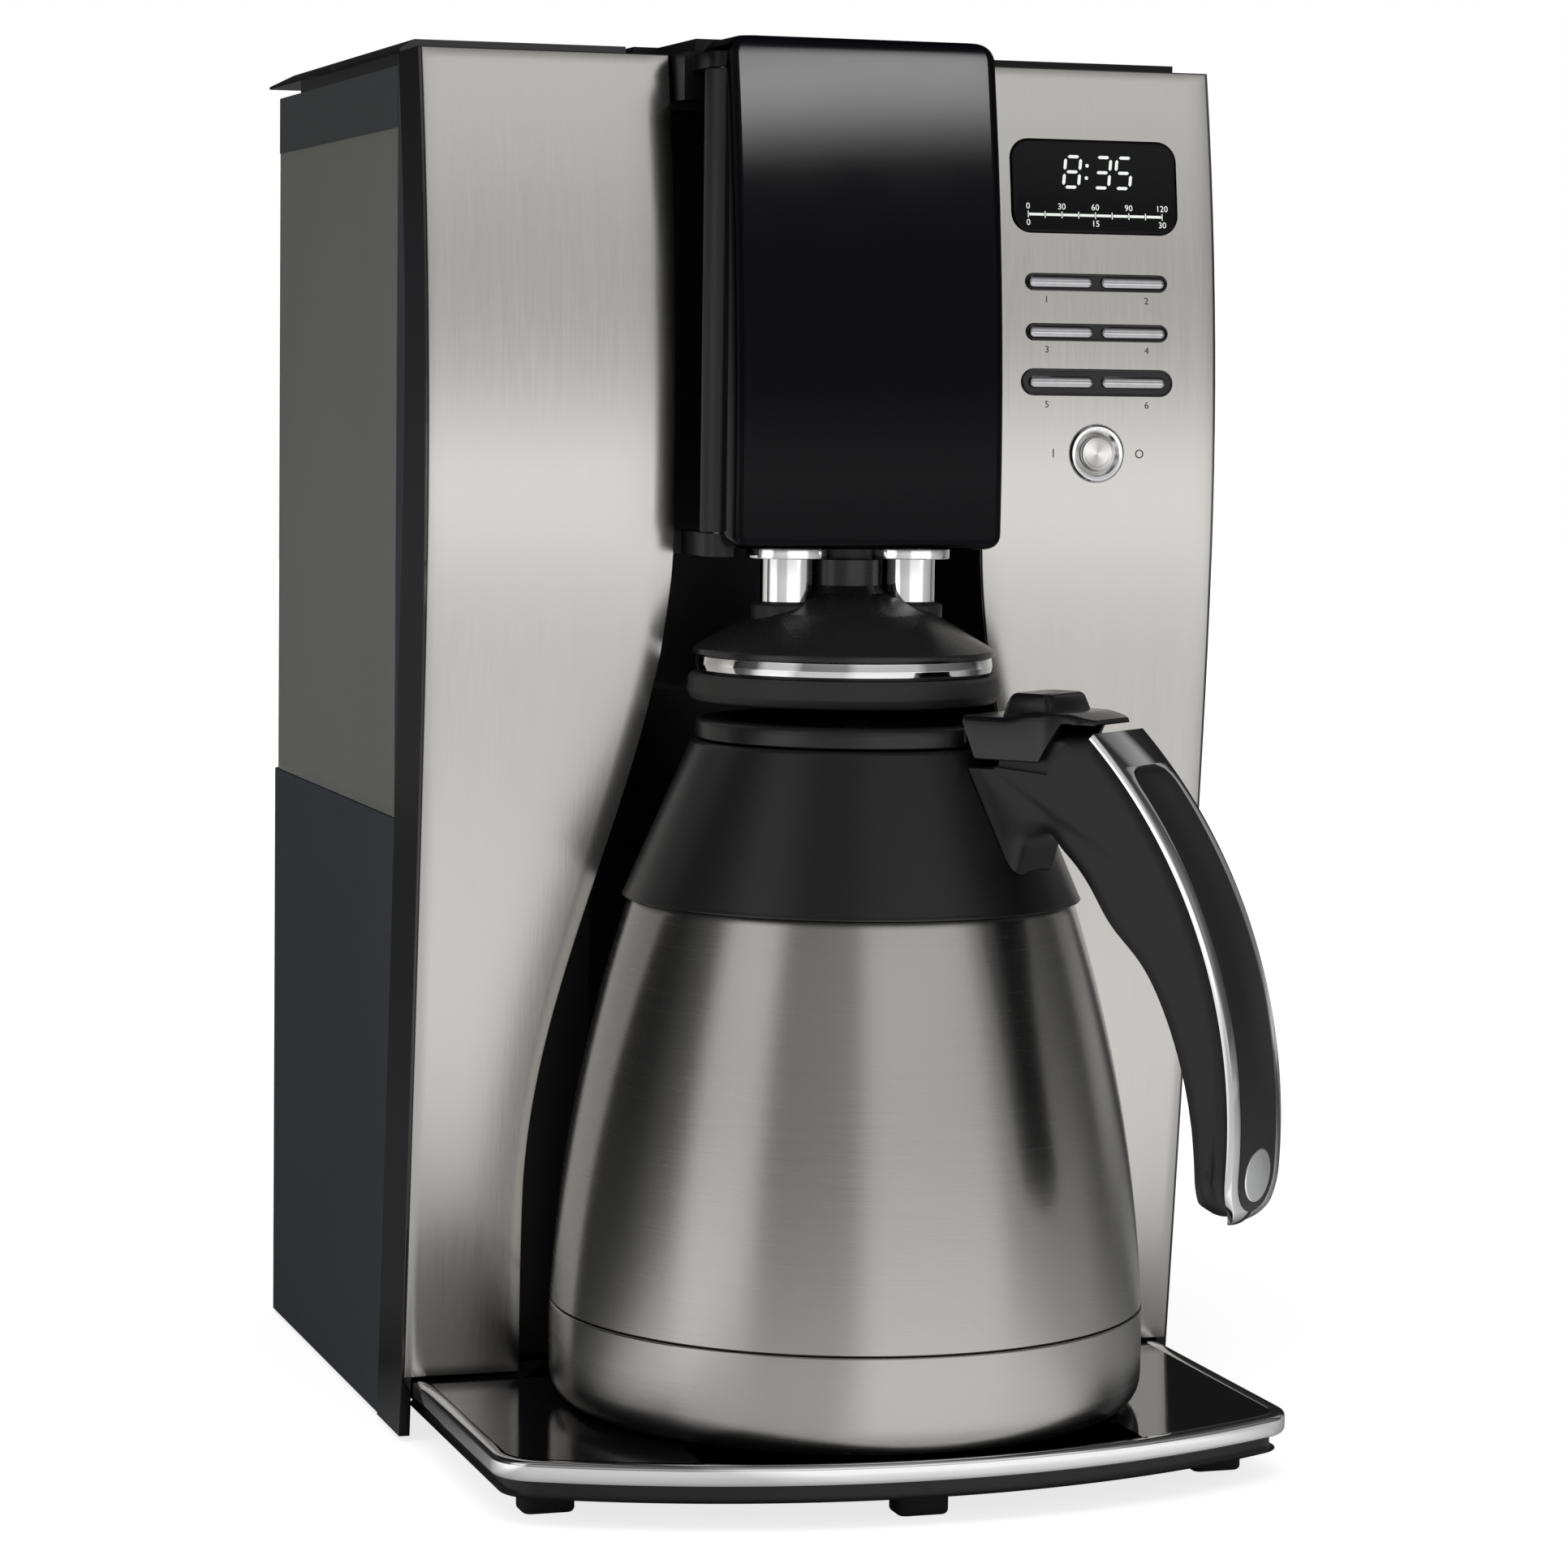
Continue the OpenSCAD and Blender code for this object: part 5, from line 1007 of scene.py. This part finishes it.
carved(piece("thumb_lever", *spun_out(joined([saddle, pad, pivot_rod(2.3, 32, 8.6),
                                              block(-8.4, 8.4, 45.2, 47.6, 199.0, 202.4)])),
             "thumb_lever", "gloss_black", lever_gloss), angle=30)
piece("lever_pin", *spun_out(pivot_rod(1.15, 24, 11.6)), "carafe", "wire", bright_steel)

# ------------------------ handle
# A hollow loop moulded in satin black that flares on to the shoulder. Its outer face
# takes a chromed band with a black inlay and, near its lower end, a small plain disc.
outer_out, outer_z, outer_radius = -18, 100, 138
inner_out, inner_z, inner_radius = -1, 85, 109.5
tip_out, tip_z, tip_radius, grip_top, end_z, grip_half = 113.7, 83.5, 5.3, 198.8, 89.7, 12


def outer_line(grow, top, low_turn=-pi * 0.62):
    """The handle's outer face from the top to round its tip, as (out, z, normal out, normal z)."""
    line, radius = [], outer_radius + grow
    start = asin((top - outer_z) / radius)
    finish = atan2(tip_z - outer_z, tip_out - outer_out)
    for out, z, reach, angles in (
            (outer_out, outer_z, radius, np.linspace(start, finish, 70)),
            (tip_out, tip_z, tip_radius + grow, np.linspace(finish, low_turn, 16)[1:])):
        line += [(out + reach * cos(a), z + reach * sin(a), cos(a), sin(a)) for a in angles]
    return line


def half_at(z, widest):
    """Half width of a band whose lower end is a half circle in the front view."""
    drop = max(0, end_z - z)
    return sqrt(max(0.05, widest ** 2 - drop ** 2))


grip_line = [(out, z) for out, z, _, _ in outer_line(0, grip_top)]
palm = []
for a in np.linspace(atan2(tip_z - inner_z, tip_out - inner_out) - 0.02, radians(50.5), 60):
    radius = inner_radius - 2.6 * exp(-((inner_z + inner_radius * sin(a) - 153) / 9) ** 2)
    palm.append((inner_out + radius * cos(a), inner_z + radius * sin(a)))
hook = eased([palm[-1], (65.0, 174.2, 9), (58.6, 171.2, 5), (56.0, 160.0)], steps=8)
grip_plan = (grip_line + palm[:-1] + hook + [(38, 160.0), (38, grip_top)])[::-1]


def flank(out, z):
    """Half width of the handle, which spreads towards the shoulder and rounds off below."""
    return half_at(z, grip_half) + 1.9 * ramp(-out, -69, -58) * ramp(z, 168, 184)


round_edge = 4.4
levels = [(round_edge * (1 - sin(a)), -grip_half + round_edge * (1 - cos(a))) for a in
          np.linspace(0, pi / 2, 7)]
levels += [(d, -q) for d, q in levels[::-1]]
grip_rings = [[(q * flank(out, z) / grip_half, out, z) for out, z in inset(grip_plan, depth)]
              for depth, q in levels]
shoulder_room = lathe([(0.01, 150), (61.3, 150), (61.3, 152.0), (60.9, 153.0), (43.5, 193.9), (51.2, 194.0),
                       (51.2, 210), (0.01, 210)], 192)
flap_room = [(30, 190.6), (44, 190.6), (66.0, 188.8), (72.2, 200), (72.2, 215), (30, 215)]
flap_rooms = [tool(*spun_out(across(loft([[(x, y, q) for x, y in flap_room] for q in pair]))))
              for pair in ((11.2, 25), (-25, -11.2))]
lid_room = block(-20.4, 20.4, 20, 51.0, 189.4, 215)
handle = piece("carafe_handle", *spun_out(loft(grip_rings)), "carafe", "black_plastic", satin_black)
melt = handle.modifiers.new("melt", "REMESH")
melt.mode, melt.voxel_size = "VOXEL", 0.0007
relax = handle.modifiers.new("relax", "SMOOTH")
relax.factor, relax.iterations = 0.5, 10
carved(handle, tool(*shoulder_room), tool(*spun_out(lid_room)), *flap_rooms, angle=38)


def band(low, high, widest, top, soft=0.7, top_round=0.0):
    """A strip that lies on the outer face between two heights over it, round at its lower end."""
    rings = []
    for out, z, lean_out, lean_z in outer_line(0, top, -pi * 0.49):
        limit = half_at(z + lean_z * high, widest)
        if top_round and z > top - top_round:
            limit -= top_round - sqrt(max(0, top_round ** 2 - (z - top + top_round) ** 2))
        edge = min(soft, limit * 0.6)
        section = [(-limit, low), (limit, low), (limit, high - edge), (limit - edge * 0.3, high - edge * 0.3),
                   (limit - edge, high), (edge - limit, high), (edge * 0.3 - limit, high - edge * 0.3),
                   (-limit, high - edge)]
        rings.append([(q, out + lean_out * h, z + lean_z * h) for q, h in section])
    return loft(rings)


carved(piece("handle_trim", *spun_out(band(0.05, 2, 13.5, grip_top - 0.1)),
             "carafe", "chrome_trim", chrome),
       tool(*spun_out(band(0.9, 5, 10, 190.5, soft=0.05, top_round=5))))
piece("handle_insert", *spun_out(band(0.95, 2.4, 9.75, 190.2, soft=0.6, top_round=4.8)),
      "carafe", "black_plastic", satin_black)
disc_lean = asin((end_z - outer_z) / outer_radius)
disc_at = outer_radius + 1.7
lean_level, lean_up = cos(disc_lean), sin(disc_lean)
turn_side, turn_out = cos(lever_turn), sin(lever_turn)
disc_place = ((outer_out + disc_at * lean_level) * turn_out, -(outer_out + disc_at * lean_level) * turn_side,
              outer_z + disc_at * lean_up)
disc_out = (lean_level * turn_out, -lean_level * turn_side, lean_up)
disc = lathe(eased([(0.01, 0.2), (6.9, 0.2), (6.9, 0.95, 0.35), (0.01, 0.98)]), 64)
piece("handle_disc", *moved(disc, disc_place, disc_out, (turn_side, turn_out, 0)),
      "carafe", "chrome_trim", ring_chrome)
